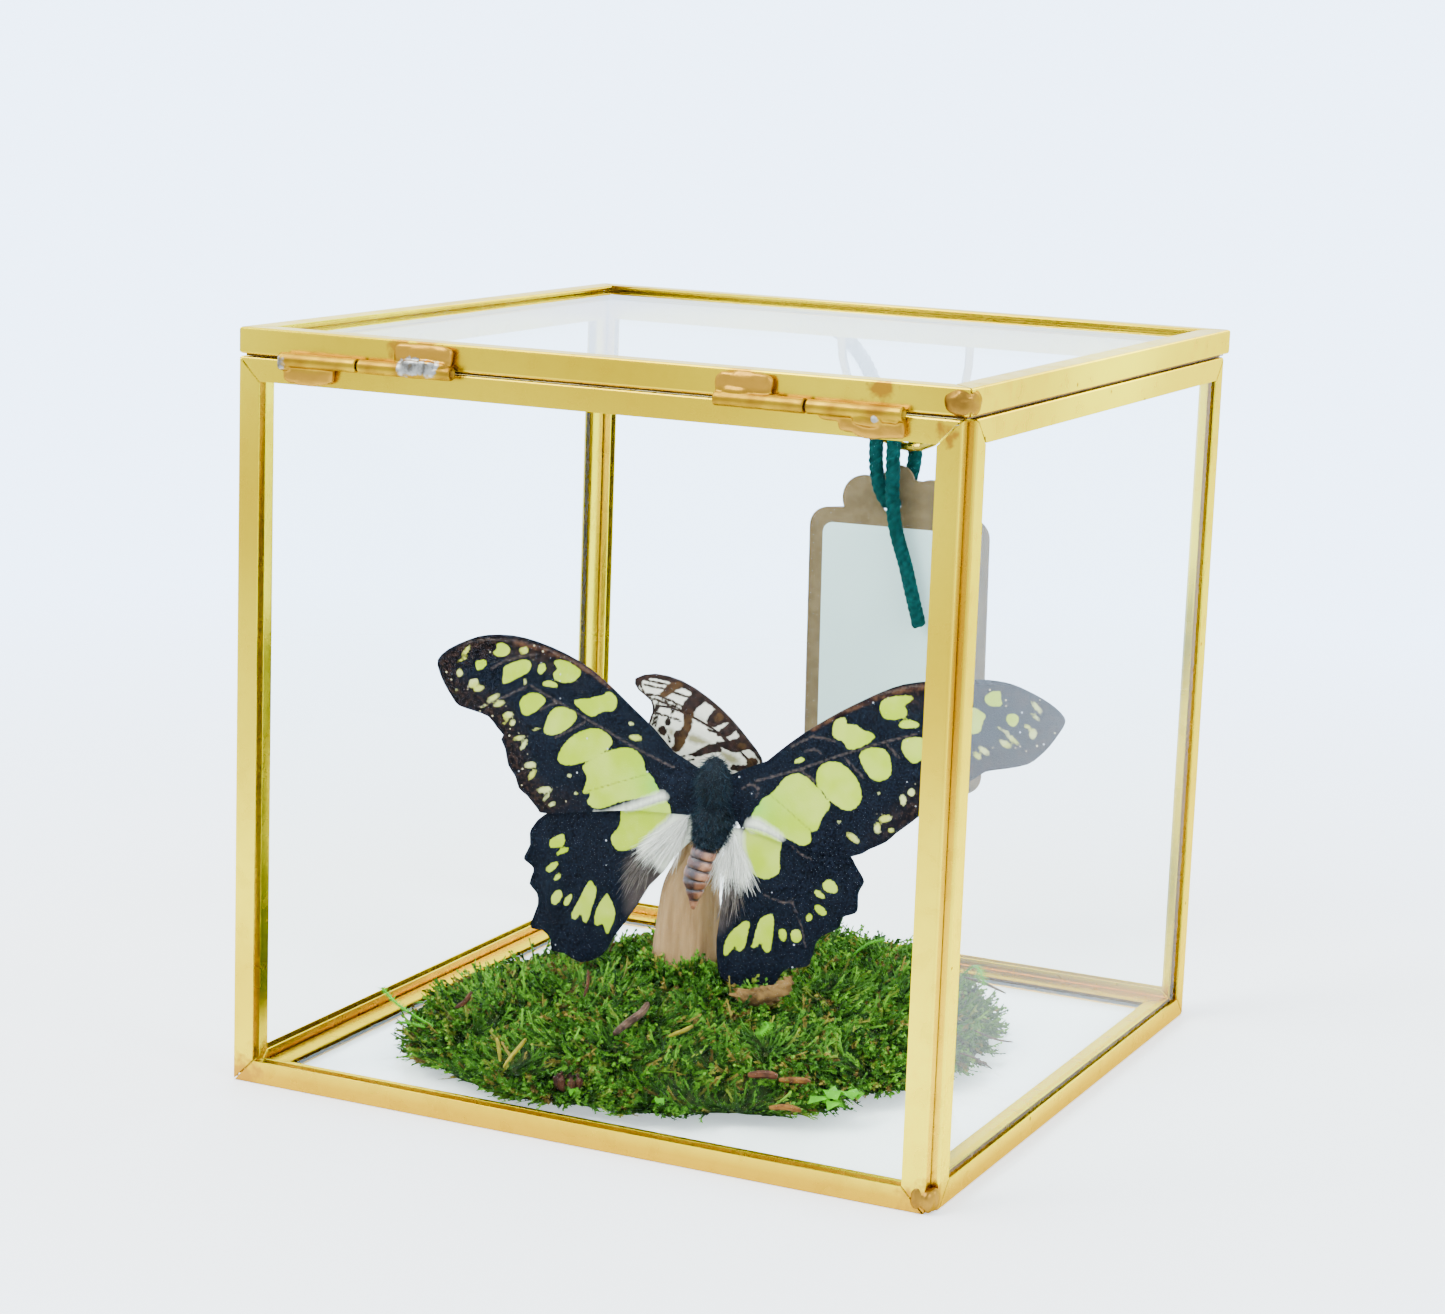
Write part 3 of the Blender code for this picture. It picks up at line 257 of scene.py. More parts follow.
# Second butterfly: dark brown and ochre marks on white, in its wings' own plane
SMALL_DARK = [
    [(-17.7, 51.4), (-16.6, 52.1), (-15.0, 52.3), (-11.0, 51.5), (-7.0, 49.5), (-4.0, 46.9), (-1.5, 44.0),
     (0.8, 41.6), (0.4, 41.4), (-1.7, 43.7), (-4.1, 46.5), (-7.2, 49.0), (-11.1, 50.9), (-13.2, 51.5),
     (-15.0, 51.8), (-16.4, 51.4), (-17.0, 50.6), (-17.3, 50.0), (-17.6, 50.4)],
    [(-9.3, 50.3), (-7.3, 49.4), (-7.8, 48.8), (-8.8, 48.1), (-9.2, 47.3), (-10.2, 47.3), (-10.8, 47.8),
     (-10.2, 48.7), (-9.5, 49.5)],
    [(-11.5, 44.4), (-10.2, 44.7), (-9.9, 44.3), (-10.4, 43.0), (-11.1, 42.8), (-11.5, 43.6)],
    [(-5.4, 48.3), (-4.5, 47.3), (-4.0, 46.6), (-4.8, 46.3), (-5.6, 45.9), (-6.4, 45.5), (-7.2, 45.8),
     (-6.8, 46.9), (-6.2, 47.6)],
    [(-5.6, 44.5), (-5.3, 44.9), (-4.0, 46.0), (-3.7, 46.2), (-3.5, 45.8), (-4.9, 44.7)],
    [(-5.0, 44.4), (-4.5, 44.7), (-3.4, 45.7), (-3.0, 45.4), (-4.4, 44.3)],
    [(-2.3, 44.6), (-1.5, 43.9), (-0.8, 43.3), (-1.2, 42.9), (-2.3, 42.6), (-3.4, 42.3), (-4.6, 42.9),
     (-5.9, 43.3), (-4.6, 43.4), (-3.4, 43.7), (-2.6, 44.0)],
    [(-5.0, 42.3), (-5.3, 42.9), (-6.2, 43.1), (-7.4, 42.5), (-8.9, 41.5), (-8.7, 41.3), (-7.2, 41.8),
     (-5.8, 42.2)],
    [(-15.1, 48.1), (-15.4, 47.2), (-15.1, 46.2), (-15.6, 45.3), (-15.2, 45.4), (-14.9, 46.2), (-15.1, 47.2),
     (-14.9, 48.0)],
    [(-12.6, 46.3), (-12.3, 45.9), (-12.5, 45.3), (-12.9, 45.6)],
    [(-13.9, 44.5), (-13.2, 45.0), (-12.8, 44.5), (-13.0, 43.9), (-13.5, 44.1)],
    [(-3.5, 40.3), (-2.2, 40.3), (-1.0, 40.5), (-0.5, 40.0), (-1.4, 39.8), (-3.4, 39.8)],
]
SMALL_OCHRE = [
    [(-11.0, 51.1), (-12.6, 51.0), (-13.4, 49.9), (-14.0, 49.2), (-13.0, 49.2), (-12.3, 50.0), (-10.9, 50.7)],
    [(-10.3, 47.5), (-9.2, 47.3), (-9.3, 46.2), (-9.4, 45.0), (-9.9, 44.2), (-10.3, 42.8), (-11.0, 41.8),
     (-11.9, 41.8), (-11.4, 42.8), (-11.5, 44.3), (-10.3, 44.9), (-10.2, 46.2)],
    [(-6.3, 46.4), (-5.6, 47.4), (-5.0, 47.0), (-5.5, 46.3)],
    [(-2.7, 43.1), (-2.2, 43.4), (-1.7, 43.1), (-2.3, 42.8)],
    [(-1.3, 41.2), (-0.4, 41.6), (0.1, 41.0), (-0.5, 40.4), (-1.1, 40.5)],
]
SMALL_LINES = [
    [(-16.8, 51.2), (-16.6, 50.0), (-16.0, 49.3), (-14.0, 49.2), (-12.0, 48.5), (-10.2, 47.7)],
    [(-16.2, 50.6), (-13.5, 50.2)], [(-16.0, 51.3), (-12.6, 50.8)], [(-12.3, 49.9), (-9.8, 49.3)],
    [(-15.6, 48.9), (-12.0, 47.9), (-10.2, 47.2)], [(-14.3, 46.9), (-10.8, 46.1)],
    [(-13.6, 49.2), (-12.7, 47.9)], [(-9.0, 41.5), (-10.8, 41.0)], [(-8.8, 40.8), (-10.5, 40.3)],
    [(-14.4, 48.0), (-14.3, 46.6), (-14.7, 45.2)], [(-14.1, 48.0), (-14.0, 46.6), (-14.3, 45.0)],
    [(-12.3, 47.7), (-11.8, 47.3), (-12.1, 46.8)], [(-6.9, 45.1), (-5.2, 44.6), (-2.8, 42.5)],
    [(-12.5, 43.9), (-12.2, 43.0)],
]
SMALL_SHADE = [
    [(-9.6, 44.6), (-7.0, 43.6), (-6.2, 43.2), (-8.0, 42.9), (-9.9, 43.2)],
    [(-5.4, 42.4), (-3.4, 42.0), (-2.0, 41.0), (-3.4, 40.5), (-4.6, 41.2)],
    [(-12.6, 44.9), (-11.6, 44.8), (-11.7, 43.8), (-12.4, 44.0)],
]

# Wing marks and relief in millimetres: depth where no mark is near, reach of a forewing's bright bloom,
# rise of the veins, and width of the second butterfly's dark rim
FAR_OUTSIDE = -5.0
BLOOM_REACH = 2.2
VEIN_RISE = 0.07
SMALL_RIM = 0.32

# Tufts of silky hair on the hindwings: slant, colour, hairs, the point they fan from, length and outline
TUFTS = [
    ("tuft_left", LEFT_SLANT, "white", 800, (-2.6, 36.4), 4.0,
     [(-3.9, 34.4), (-6.2, 32.8), (-9.2, 30.2), (-8.0, 29.2), (-5.6, 29.8), (-4.3, 32.0)]),
    ("tuft_left_brown", LEFT_SLANT, "brown", 190, (-7.6, 34.0), 3.6,
     [(-9.0, 27.6), (-12.0, 28.0), (-12.8, 24.6), (-10.2, 25.0)]),
    ("tuft_right", RIGHT_SLANT, "white", 700, (2.0, 34.4), 3.6,
     [(1.7, 32.2), (2.6, 32.2), (4.5, 28.9), (3.0, 27.9), (0.9, 28.0), (0.1, 28.9), (1.2, 30.8)]),
    ("tuft_right_brown", RIGHT_SLANT, "brown", 150, (2.4, 34.0), 3.4,
     [(1.2, 25.8), (3.6, 26.2), (3.2, 23.6), (1.4, 22.8)]),
]

# Bodies: x, y, z, radius in millimetres
BODY_LINE = [
    (-0.26, -8.9, 42.6, 0.4), (-0.26, -8.9, 42.1, 0.95), (-0.26, -8.9, 41.3, 1.5), (-0.26, -8.8, 40.2, 2.0),
    (-0.3, -8.8, 39.0, 2.25), (-0.3, -8.6, 37.8, 2.15), (-0.3, -8.3, 36.9, 1.85), (-0.3, -8.1, 36.0, 2.05),
    (-0.3, -8.1, 35.0, 2.5), (-0.4, -8.2, 33.8, 2.65), (-0.56, -8.5, 32.4, 2.4), (-0.86, -8.9, 31.2, 1.9),
    (-1.06, -9.0, 30.4, 1.7),
]
ABDOMEN_LINE = [(-1.16, -9.1, 29.9, 1.75), (-2.16, -9.6, 25.6, 1.9), (-2.36, -9.8, 21.3, 0.5)]
SMALL_BODY_LINE = [
    (7.2, -0.45, 38.3, 0.35), (6.9, -0.5, 38.2, 0.85), (6.2, -0.65, 38.0, 1.05), (5.4, -0.85, 37.8, 0.9),
    (4.7, -1.0, 37.7, 1.2), (3.7, -1.25, 37.5, 1.55), (2.5, -1.55, 37.3, 1.55), (1.3, -1.85, 37.0, 1.3),
    (0.44, -2.05, 36.8, 0.95),
]
SMALL_ABDOMEN_LINE = [(0.04, -2.15, 36.7, 0.95), (-2.96, -2.85, 36.25, 1.1), (-6.76, -3.8, 35.7, 0.35)]
LEGS = [
    [(0.64, -6.8, 38.0), (2.84, -4.2, 37.0), (2.04, -1.6, 33.2)],
    [(-1.36, -6.8, 38.0), (-4.36, -5.6, 39.4), (-7.16, -5.8, 36.2)],
    [(0.44, -7.0, 35.2), (1.84, -4.2, 32.4), (0.24, -2.6, 29.0)],
    [(-1.56, -7.2, 35.6), (-4.96, -7.5, 34.4), (-7.76, -6.4, 31.0)],
]
SMALL_LEGS = [
    [(3.44, -2.3, 36.6), (3.84, -4.0, 35.8), (0.84, -4.3, 34.2), (-1.06, -4.4, 34.6)],
    [(2.24, -0.8, 36.2), (2.44, 0.4, 35.0), (-0.36, -1.2, 33.9), (-1.26, -2.6, 34.9)],
    [(1.44, -2.6, 36.2), (0.04, -4.4, 35.9), (-2.16, -4.9, 35.1)],
    [(1.04, -1.2, 36.0), (-0.76, -0.4, 36.4), (-2.76, -1.7, 35.1)],
]

# Moss mound, in millimetres: radius every 30 degrees from +X, height by share of the radius
MOSS_CENTRE = (-1.9, -2.2)
MOSS_BOTTOM = 2.2
MOSS_RADII = (35.5, 38.5, 41, 41, 39.5, 38.5, 40, 43, 44.3, 40.5, 38.2, 35)
MOSS_HEIGHTS = (
    (0.0, 9.1), (0.12, 9.0), (0.22, 8.1), (0.36, 7.6), (0.5, 6.9), (0.7, 5.2), (0.85, 3.4), (1.0, 0.9),
)
MOSS_RISE = 5.0
MOSS_RISE_ANGLE = math.radians(75)
MOSS_FIBRE_DEPTH = 1.3

# Sprigs of moss: the turn from leaf to leaf, a leaf's half width in millimetres, the lowest place of a
# sprig, on the glass floor, and the seeds of the tints and of the way the sprigs lie
LEAF_TURN = 2.4
LEAF_HALF_WIDTH = 0.23
SPRIG_FLOOR_Z = 2.3 * MM
TINT_SEED = 5
LIE_SEED = 7

# Post: x, y, z, radius in millimetres, from where its splintered foot meets the moss
POST_LINE = [
    (-5.7, -4.0, 9.0, 5.2), (-5.7, -4.0, 11.6, 5.1), (-5.65, -4.0, 17.0, 4.6), (-5.6, -4.0, 21.7, 4.1),
    (-4.9, -4.0, 25.5, 3.4), (-4.2, -4.0, 28.3, 2.8), (-4.0, -4.0, 31.5, 2.6), (-3.9, -3.9, 34.4, 2.45),
]
# Chip of bark: x, y, z, radius in millimetres
BARK_LINE = [
    (5.4, -12.4, 11.0, 0.3), (6.2, -12.5, 11.3, 0.75), (7.6, -12.6, 11.2, 1.1), (9.2, -12.6, 11.5, 1.25),
    (10.7, -12.3, 11.9, 1.15), (11.8, -11.9, 12.6, 0.85), (12.7, -11.3, 13.6, 0.6), (13.4, -10.9, 14.5, 0.3),
]

# Solder, in millimetres: balls are centre and half sizes, tubes are start, end and the body they ride on
HINGE_AXIS = (-51.2, 96.45)
HINGE_RADIUS = 0.92
HINGE_TUBES = {
    "hinge_left_case_tube": (-42.9, -31.6, "case"), "hinge_left_lid_tube": (-31.3, -18.0, "lid"),
    "hinge_right_lid_tube": (17.9, 29.7, "lid"), "hinge_right_case_tube": (30.0, 42.2, "case"),
}
HINGE_BALLS = {
    "hinge_left_case_tube": [
        (-42.3, -51.0, 95.9, 1.0, 0.9, 0.9), (-41.0, -50.7, 94.9, 1.6, 0.65, 1.4),
        (-39.2, -50.7, 94.6, 2.2, 0.7, 1.3),
        (-37.3, -50.7, 94.8, 1.9, 0.65, 1.3), (-36.2, -50.7, 95.3, 0.9, 0.6, 0.9)],
    "hinge_left_lid_tube": [
        (-24.6, -50.8, 98.3, 1.9, 0.55, 1.4), (-22.4, -50.8, 98.4, 2.2, 0.6, 1.4),
        (-20.2, -50.8, 98.4, 2.0, 0.6, 1.4),
        (-23.6, -51.4, 97.0, 1.6, 0.7, 0.8), (-21.6, -51.4, 97.1, 1.5, 0.7, 0.75),
        (-19.6, -51.2, 97.0, 1.2, 0.7, 0.8)],
    "hinge_right_lid_tube": [
        (19.6, -50.8, 98.3, 1.8, 0.6, 1.45), (21.6, -50.8, 98.4, 2.0, 0.65, 1.45),
        (23.6, -50.8, 98.4, 1.6, 0.6, 1.4),
        (20.6, -51.1, 97.2, 1.8, 0.6, 0.8), (25.4, -51.0, 96.9, 1.2, 0.6, 0.6)],
    "hinge_right_case_tube": [
        (33.0, -50.8, 95.7, 1.9, 0.6, 0.7), (35.6, -50.7, 95.0, 1.9, 0.65, 1.2),
        (38.0, -50.7, 94.6, 2.2, 0.75, 1.3),
        (40.4, -50.7, 94.7, 1.9, 0.7, 1.3), (37.6, -51.3, 95.6, 1.7, 0.7, 0.9),
        (40.6, -51.1, 96.0, 1.3, 0.8, 0.8)],
}
LID_CORNER_BALLS = [
    (48.3, -49.2, 98.2, 2.0, 1.45, 1.75), (49.1, -48.5, 98.2, 1.5, 1.9, 1.75),
    (48.7, -49.1, 98.9, 1.7, 1.5, 1.05),
    (48.7, -49.1, 97.5, 1.7, 1.4, 1.05),
]
FOOT_CORNER_BALLS = [
    (48.0, -49.4, 1.9, 1.0, 1.0, 1.7), (49.1, -49.2, 1.6, 1.0, 1.1, 1.5), (49.5, -48.4, 1.7, 0.9, 1.0, 1.5),
]
# Where solder is bare and silvery: x, z and reach in millimetres
SILVER_SPOTS = [
    (-42.9, 96.1, 1.3), (-24.2, 97.0, 1.7), (-23.0, 97.1, 1.7), (-21.8, 97.0, 1.6), (-20.6, 97.0, 1.3),
    (38.8, 95.7, 0.5),
]
SILVER_FRONT_Y = -50.6 * MM
# Where the heat of soldering stains the channels: x, y, z and reach in millimetres
CASE_STAINS = [(-48.6, -50.0, 1.0, 3.4), (48.8, -49.8, 1.2, 3.0), (47.2, -50.0, 94.6, 1.6)]
LID_STAINS = [
    (38.8, -50.0, 99.1, 2.0), (-26.4, -50.0, 99.4, 1.6), (-22.4, -50.0, 99.9, 2.6), (21.4, -50.0, 99.9, 2.4),
]
# A dark strip of painted shade in the seam under the lid: outer and inner half width, low and high z, in
# millimetres
SEAM_SHADE = (49.3, 48.5, 96.33, 96.7)

# Bits lying in the moss: points, thickness and shade, in millimetres
TWIG_COLOURS = {
    "grey": ((0.11, 0.062, 0.040), (0.035, 0.018, 0.012)), "brown": ((0.11, 0.040, 0.018),
    (0.04, 0.015, 0.008)),
    "rust": ((0.20, 0.085, 0.018), (0.075, 0.028, 0.008)), "yellow": ((0.26, 0.22, 0.02), (0.15, 0.13, 0.01)),
}
MOSS_TWIGS = [
    ([(-2.6, -31.8, 9.4), (-2.4, -28.6, 10.0), (-2.0, -25.0, 10.7), (-2.3, -22.8, 11.3)], 0.55, "grey"),
    ([(26.2, 18.6, 9.2), (29.6, 17.6, 9.1), (33.6, 15.6, 8.8)], 0.2, "grey"),
    ([(34.0, -2.2, 5.0), (36.6, -3.2, 5.0), (39.6, -4.6, 4.4)], 0.16, "grey"),
    ([(32.8, 5.6, 6.0), (36.6, 4.4, 5.6), (39.4, 3.6, 5.9)], 0.14, "grey"),
    ([(-29.2, -27.2, 7.4), (-28.0, -26.6, 8.4), (-27.2, -26.4, 9.8)], 0.35, "brown"),
    ([(16.2, -30.3, 6.6), (18.4, -29.4, 6.8), (19.8, -29.0, 6.6)], 0.55, "brown"),
    ([(20.0, -29.0, 6.2), (22.4, -28.0, 6.3), (23.8, -27.4, 6.1)], 0.45, "rust"),
    ([(21.2, -34.4, 4.2), (23.4, -33.4, 4.4), (25.0, -32.8, 4.0)], 0.40, "rust"),
    ([(3.4, -27.8, 9.0), (4.8, -26.4, 9.6), (5.2, -24.4, 9.8)], 0.30, "yellow"),
    ([(-14.6, -39.8, 4.9), (-13.9, -38.8, 6.4), (-13.2, -37.9, 7.6), (-12.6, -37.6, 8.6)], 0.30, "yellow"),
    ([(-15.8, -38.6, 5.2), (-16.6, -37.6, 6.8), (-17.2, -37.2, 7.8)], 0.26, "yellow"),
    ([(-12.0, -22.6, 10.6), (-11.8, -22.0, 12.2), (-12.0, -21.6, 14.0)], 0.22, "brown"),
]
MOSS_FRONDS = [
    ([(-32.0, -28.2, 4.6), (-36.2, -26.4, 5.0), (-40.4, -24.2, 5.6), (-43.6, -22.6, 6.8)], 1.3),
    ([(-33.0, -28.8, 4.4), (-35.0, -28.8, 4.6), (-36.6, -29.6, 4.8)], 1.1),
    ([(14.0, 8.6, 13.0), (15.8, 9.6, 14.6), (17.8, 10.6, 15.2)], 1.1),
    ([(24.8, 22.4, 8.6), (26.8, 20.8, 10.4), (28.6, 18.6, 10.4), (30.0, 16.8, 9.0)], 1.2),
    ([(12.4, -17.0, 9.6), (13.6, -18.8, 9.6), (13.4, -20.8, 9.0)], 1.2),
]
# Bright leaves: centre, size and turn
BRIGHT_LEAVES = [
    (25.6, -28.2, 4.4, 1.9, 0.6), (26.8, -26.8, 5.0, 2.0, 1.9), (28.0, -25.9, 4.8, 2.0, 3.2),
    (27.4, -28.0, 4.0, 1.8, 4.6),
    (29.0, -24.6, 4.6, 1.6, 5.4), (-3.2, -41.6, 4.2, 1.0, 1.2), (7.6, -38.9, 4.0, 1.2, 2.4),
]

# Tag
TAG_CENTRE_X = -0.9 * MM
TAG_FACE_Y = 53.4 * MM
TAG_THICKNESS = 0.6 * MM
TAG_HALF_WIDTH = 14.3 * MM
TAG_BOTTOM_Z = 26.6 * MM
TAG_SHOULDER_Z = 68.6 * MM
TAG_CORNER = 3.0 * MM
TAG_TILT = math.radians(0.9)
TAG_HOLE = (-1.0 * MM, 70.0 * MM)
TAG_HOLE_RADIUS = 1.7 * MM
LABEL_TOP_Z = 66.3 * MM
LABEL_MARGIN = 2.3 * MM
LABEL_CORNER = 1.6 * MM
PLATE_BEVEL = 0.05 * MM

# Surroundings: colours by height, of the bright wall and of the backdrop; lamps: name, place, size, share
SKY_STOPS = ((0.0, (0.70, 0.72, 0.70)), (0.49, (0.90, 0.95, 0.97)), (0.52, (0.90, 1.0, 1.13)),
             (0.75, (0.82, 0.90, 0.98)), (1.0, (0.65, 0.68, 0.72)))
WALL_LIGHT = (1.15, 1.42, 1.72)
BACKDROP_LIGHT = (1.25, 1.62, 2.2)
LAMPS = (("key", (-0.55, -0.75, 0.95), 0.45, 1.0), ("fill", (0.9, -0.35, 0.55), 0.35, 0.4),
         ("top", (-0.52, -0.24, 1.2), 0.6, 0.9), ("back", (0.28, 1.3, 0.72), 0.5, 0.4))


# ---------------------------------------------------------------- properties

def colour_property(name, description, default):
    return bpy.props.FloatVectorProperty(
        name=name, description=description, default=default, size=3, subtype="COLOR", min=0, max=1)


def length_property(name, description, default, low, high):
    return bpy.props.FloatProperty(
        name=name, description=description, default=default, min=low, max=high, unit="LENGTH",
        subtype="DISTANCE")


class CaseFinish(bpy.types.PropertyGroup):
    brass: colour_property("Brass", "Colour of the brass channel", (0.60, 0.41, 0.0))
    # The pale brass is a painted highlight, laid in soft patches over the channel
    painted_highlight_brass: colour_property(
        "Pale brass", "Colour of the channel where it is rubbed bright", (0.86, 0.69, 0.008))
    copper: colour_property("Solder stain", "Colour of the brass beside the solder", (0.20, 0.095, 0.008))
    glass: colour_property("Glass", "Tint of the panes", (0.975, 0.992, 0.98))


class WingFinish(bpy.types.PropertyGroup):
    spacing: length_property(
        "Mesh spacing", "Distance between the points of a wing's mesh", 0.42 * MM, 0.2 * MM, 2 * MM)
    thickness: length_property("Thickness", "Thickness of a wing", 0.14 * MM, 0.05 * MM, 0.3 * MM)
    green: colour_property("Green", "Colour of the front butterfly's spots", (0.345, 0.48, 0.0))
    dark: colour_property("Dark", "Ground colour of the front butterfly's wings", (0.0022, 0.0030, 0.0055))


class MossFinish(bpy.types.PropertyGroup):
    sprigs: bpy.props.IntProperty(
        name="Sprigs", description="Moss sprigs in each layer", default=3700, min=10, max=4000)
    layers: bpy.props.IntProperty(name="Layers", description="Layers of moss sprigs", default=5, min=1, max=6)
    sprig_length: length_property("Sprig length", "Length of a moss sprig", 3.1 * MM, 1 * MM, 12 * MM)
    seed: bpy.props.IntProperty(name="Seed", description="Seed of the moss's scatter", default=7, min=0)


class TwineFinish(bpy.types.PropertyGroup):
    diameter: length_property("Diameter", "Diameter of the tag's twine", 2.3 * MM, 0.5 * MM, 4 * MM)
    colour: colour_property("Colour", "Colour of the twine", (0.0, 0.053, 0.053))


class StageSetup(bpy.types.PropertyGroup):
    floor_size: length_property("Floor size", "Width of the floor", 3.0, 0.5, 20)
    key_power: bpy.props.FloatProperty(
        name="Key power", description="Power of the large soft light", default=13.0, min=0, max=100,
        unit="POWER")
    sky: bpy.props.FloatProperty(
        name="Sky", description="Brightness of the surroundings", default=3.3, min=0, max=10)


# ---------------------------------------------------------------- nodes

def rgba(colour):
    return (*colour[:3], 1.0)


class Nodes:
    """Adds nodes to a tree. A value is a number, a colour or another node's socket."""

    def __init__(self, tree):
        self.tree = tree

    def link(self, node, values):
        for key, value in values.items():
            if isinstance(value, bpy.types.NodeSocket):
                self.tree.links.new(value, node.inputs[key])
            else:
                node.inputs[key].default_value = value

    def add(self, kind, values=None, **settings):
        """The outputs of a new node."""
        node = self.tree.nodes.new(kind)
        for key, value in settings.items():
            setattr(node, key, value)
        self.link(node, values or {})
        return node.outputs

    def maths(self, operation, *values):
        return self.add("ShaderNodeMath", dict(enumerate(values)), operation=operation)[0]

    def remap(self, value, low, high, to_low=0.0, to_high=1.0, kind="LINEAR"):
        return self.add("ShaderNodeMapRange", {
            "Value": value, "From Min": low, "From Max": high, "To Min": to_low, "To Max": to_high},
            interpolation_type=kind)[0]

    def mix(self, factor, a, b, blend="MIX"):
        """A mix of two colours, which go into the node's seventh and eighth sockets."""
        a, b = (c if isinstance(c, bpy.types.NodeSocket) else rgba(c) for c in (a, b))
        return self.add("ShaderNodeMix", {0: factor, 6: a, 7: b}, data_type="RGBA", blend_type=blend)[2]

    def layers(self, colour, coats):
        """The colour with coats laid over it: each a mask and a colour."""
        for mask, coat in coats:
            colour = self.mix(mask, colour, coat)
        return colour

    def ramp(self, factor, stops):
        node = self.tree.nodes.new("ShaderNodeValToRGB")
        self.tree.links.new(factor, node.inputs[0])
        elements = node.color_ramp.elements
        while len(elements) < len(stops):
            elements.new(0.5)
        for element, (position, colour) in zip(elements, stops):
            element.position = position
            element.color = rgba(colour)
        return node.outputs[0]

    def attribute(self, name):
        return self.add("ShaderNodeAttribute", attribute_name=name)["Fac"]

    def group(self, name, values):
        tree = bpy.data.node_groups.get(name) or GROUP_MAKERS[name]()
        return self.add("ShaderNodeGroup", values, node_tree=tree)


class Group(Nodes):
    """A node group: its inputs by name, with each one's type and default, and its outputs by name."""

    def __init__(self, name, kind, inputs, outputs):
        super().__init__(bpy.data.node_groups.new(name, kind))
        for key, (socket_type, default) in inputs.items():
            socket = self.socket(key, "INPUT", socket_type)
            if default is not None:
                socket.default_value = default
        for key, socket_type in outputs.items():
            self.socket(key, "OUTPUT", socket_type)
        self.given = self.tree.nodes.new("NodeGroupInput").outputs
        self.out = self.tree.nodes.new("NodeGroupOutput")

    def socket(self, name, side, kind):
        return self.tree.interface.new_socket(name, in_out=side, socket_type=f"NodeSocket{kind}")

    def give(self, **values):
        self.link(self.out, values)
        return self.tree


def mottle_group():
    """Two colours in soft patches, with the mask of the second."""
    g = Group("mottle", "ShaderNodeTree", {
        "Vector": ("Vector", None), "Scale": ("Float", 100.0), "Detail": ("Float", 3.0),
        "Edge": ("Float", 0.15), "Level": ("Float", 0.5), "Colour A": ("Color", (0.5, 0.5, 0.5, 1)),
        "Colour B": ("Color", (0.2, 0.2, 0.2, 1))}, {"Colour": "Color", "Mask": "Float"})
    clouds = g.add("ShaderNodeTexNoise", {key: g.given[key] for key in ("Vector", "Scale", "Detail")})
    low = g.maths("SUBTRACT", g.given["Level"], g.given["Edge"])
    high = g.maths("ADD", g.given["Level"], g.given["Edge"])
    mask = g.remap(clouds["Fac"], low, high, kind="SMOOTHSTEP")
    return g.give(Colour=g.mix(mask, g.given["Colour A"], g.given["Colour B"]), Mask=mask)


def speck_group():
    """Small round specks scattered over a surface."""
    g = Group("specks", "ShaderNodeTree", {
        "Vector": ("Vector", None), "Scale": ("Float", 500.0), "Size": ("Float", 0.12),
        "Share": ("Float", 0.3)}, {"Mask": "Float"})
    cells = g.add("ShaderNodeTexVoronoi", {key: g.given[key] for key in ("Vector", "Scale")})
    near = g.maths("LESS_THAN", cells["Distance"], g.given["Size"])
    split = g.add("ShaderNodeSeparateColor", {0: cells["Color"]})
    return g.give(Mask=g.maths("MULTIPLY", near, g.maths("LESS_THAN", split[0], g.given["Share"])))


def grain_group():
    """Long fibres along Z: fine streaks as a mask between 0 and 1."""
    g = Group("grain", "ShaderNodeTree", {
        "Vector": ("Vector", None), "Scale": ("Float", 900.0), "Stretch": ("Float", 0.08)}, {"Mask": "Float"})
    split = g.add("ShaderNodeSeparateXYZ", {0: g.given["Vector"]})
    squeezed = g.maths("MULTIPLY", split[2], g.given["Stretch"])
    joined = g.add("ShaderNodeCombineXYZ", {0: split[0], 1: split[1], 2: squeezed})
    streaks = g.add("ShaderNodeTexNoise", {
        "Vector": joined[0], "Scale": g.given["Scale"], "Detail": 4.0, "Roughness": 0.6})
    return g.give(Mask=streaks["Fac"])


def spot_group():
    """A soft ragged spot at a place on the object."""
    g = Group("spot", "ShaderNodeTree", {
        "Vector": ("Vector", None), "Centre": ("Vector", (0.0, 0.0, 0.0)), "Reach": ("Float", 0.003)},
        {"Mask": "Float"})
    ragged = g.add("ShaderNodeTexNoise", {"Vector": g.given["Vector"], "Scale": 600.0})
    away = g.add("ShaderNodeVectorMath", {0: g.given["Vector"], 1: g.given["Centre"]}, operation="DISTANCE")
    share = g.maths("DIVIDE", away["Value"], g.given["Reach"])
    rough = g.maths("MULTIPLY_ADD", ragged["Fac"], 3.0, share)
    return g.give(Mask=g.remap(rough, 2.6, 1.7, kind="SMOOTHSTEP"))


GROUP_MAKERS = {"mottle": mottle_group, "specks": speck_group, "grain": grain_group, "spot": spot_group}


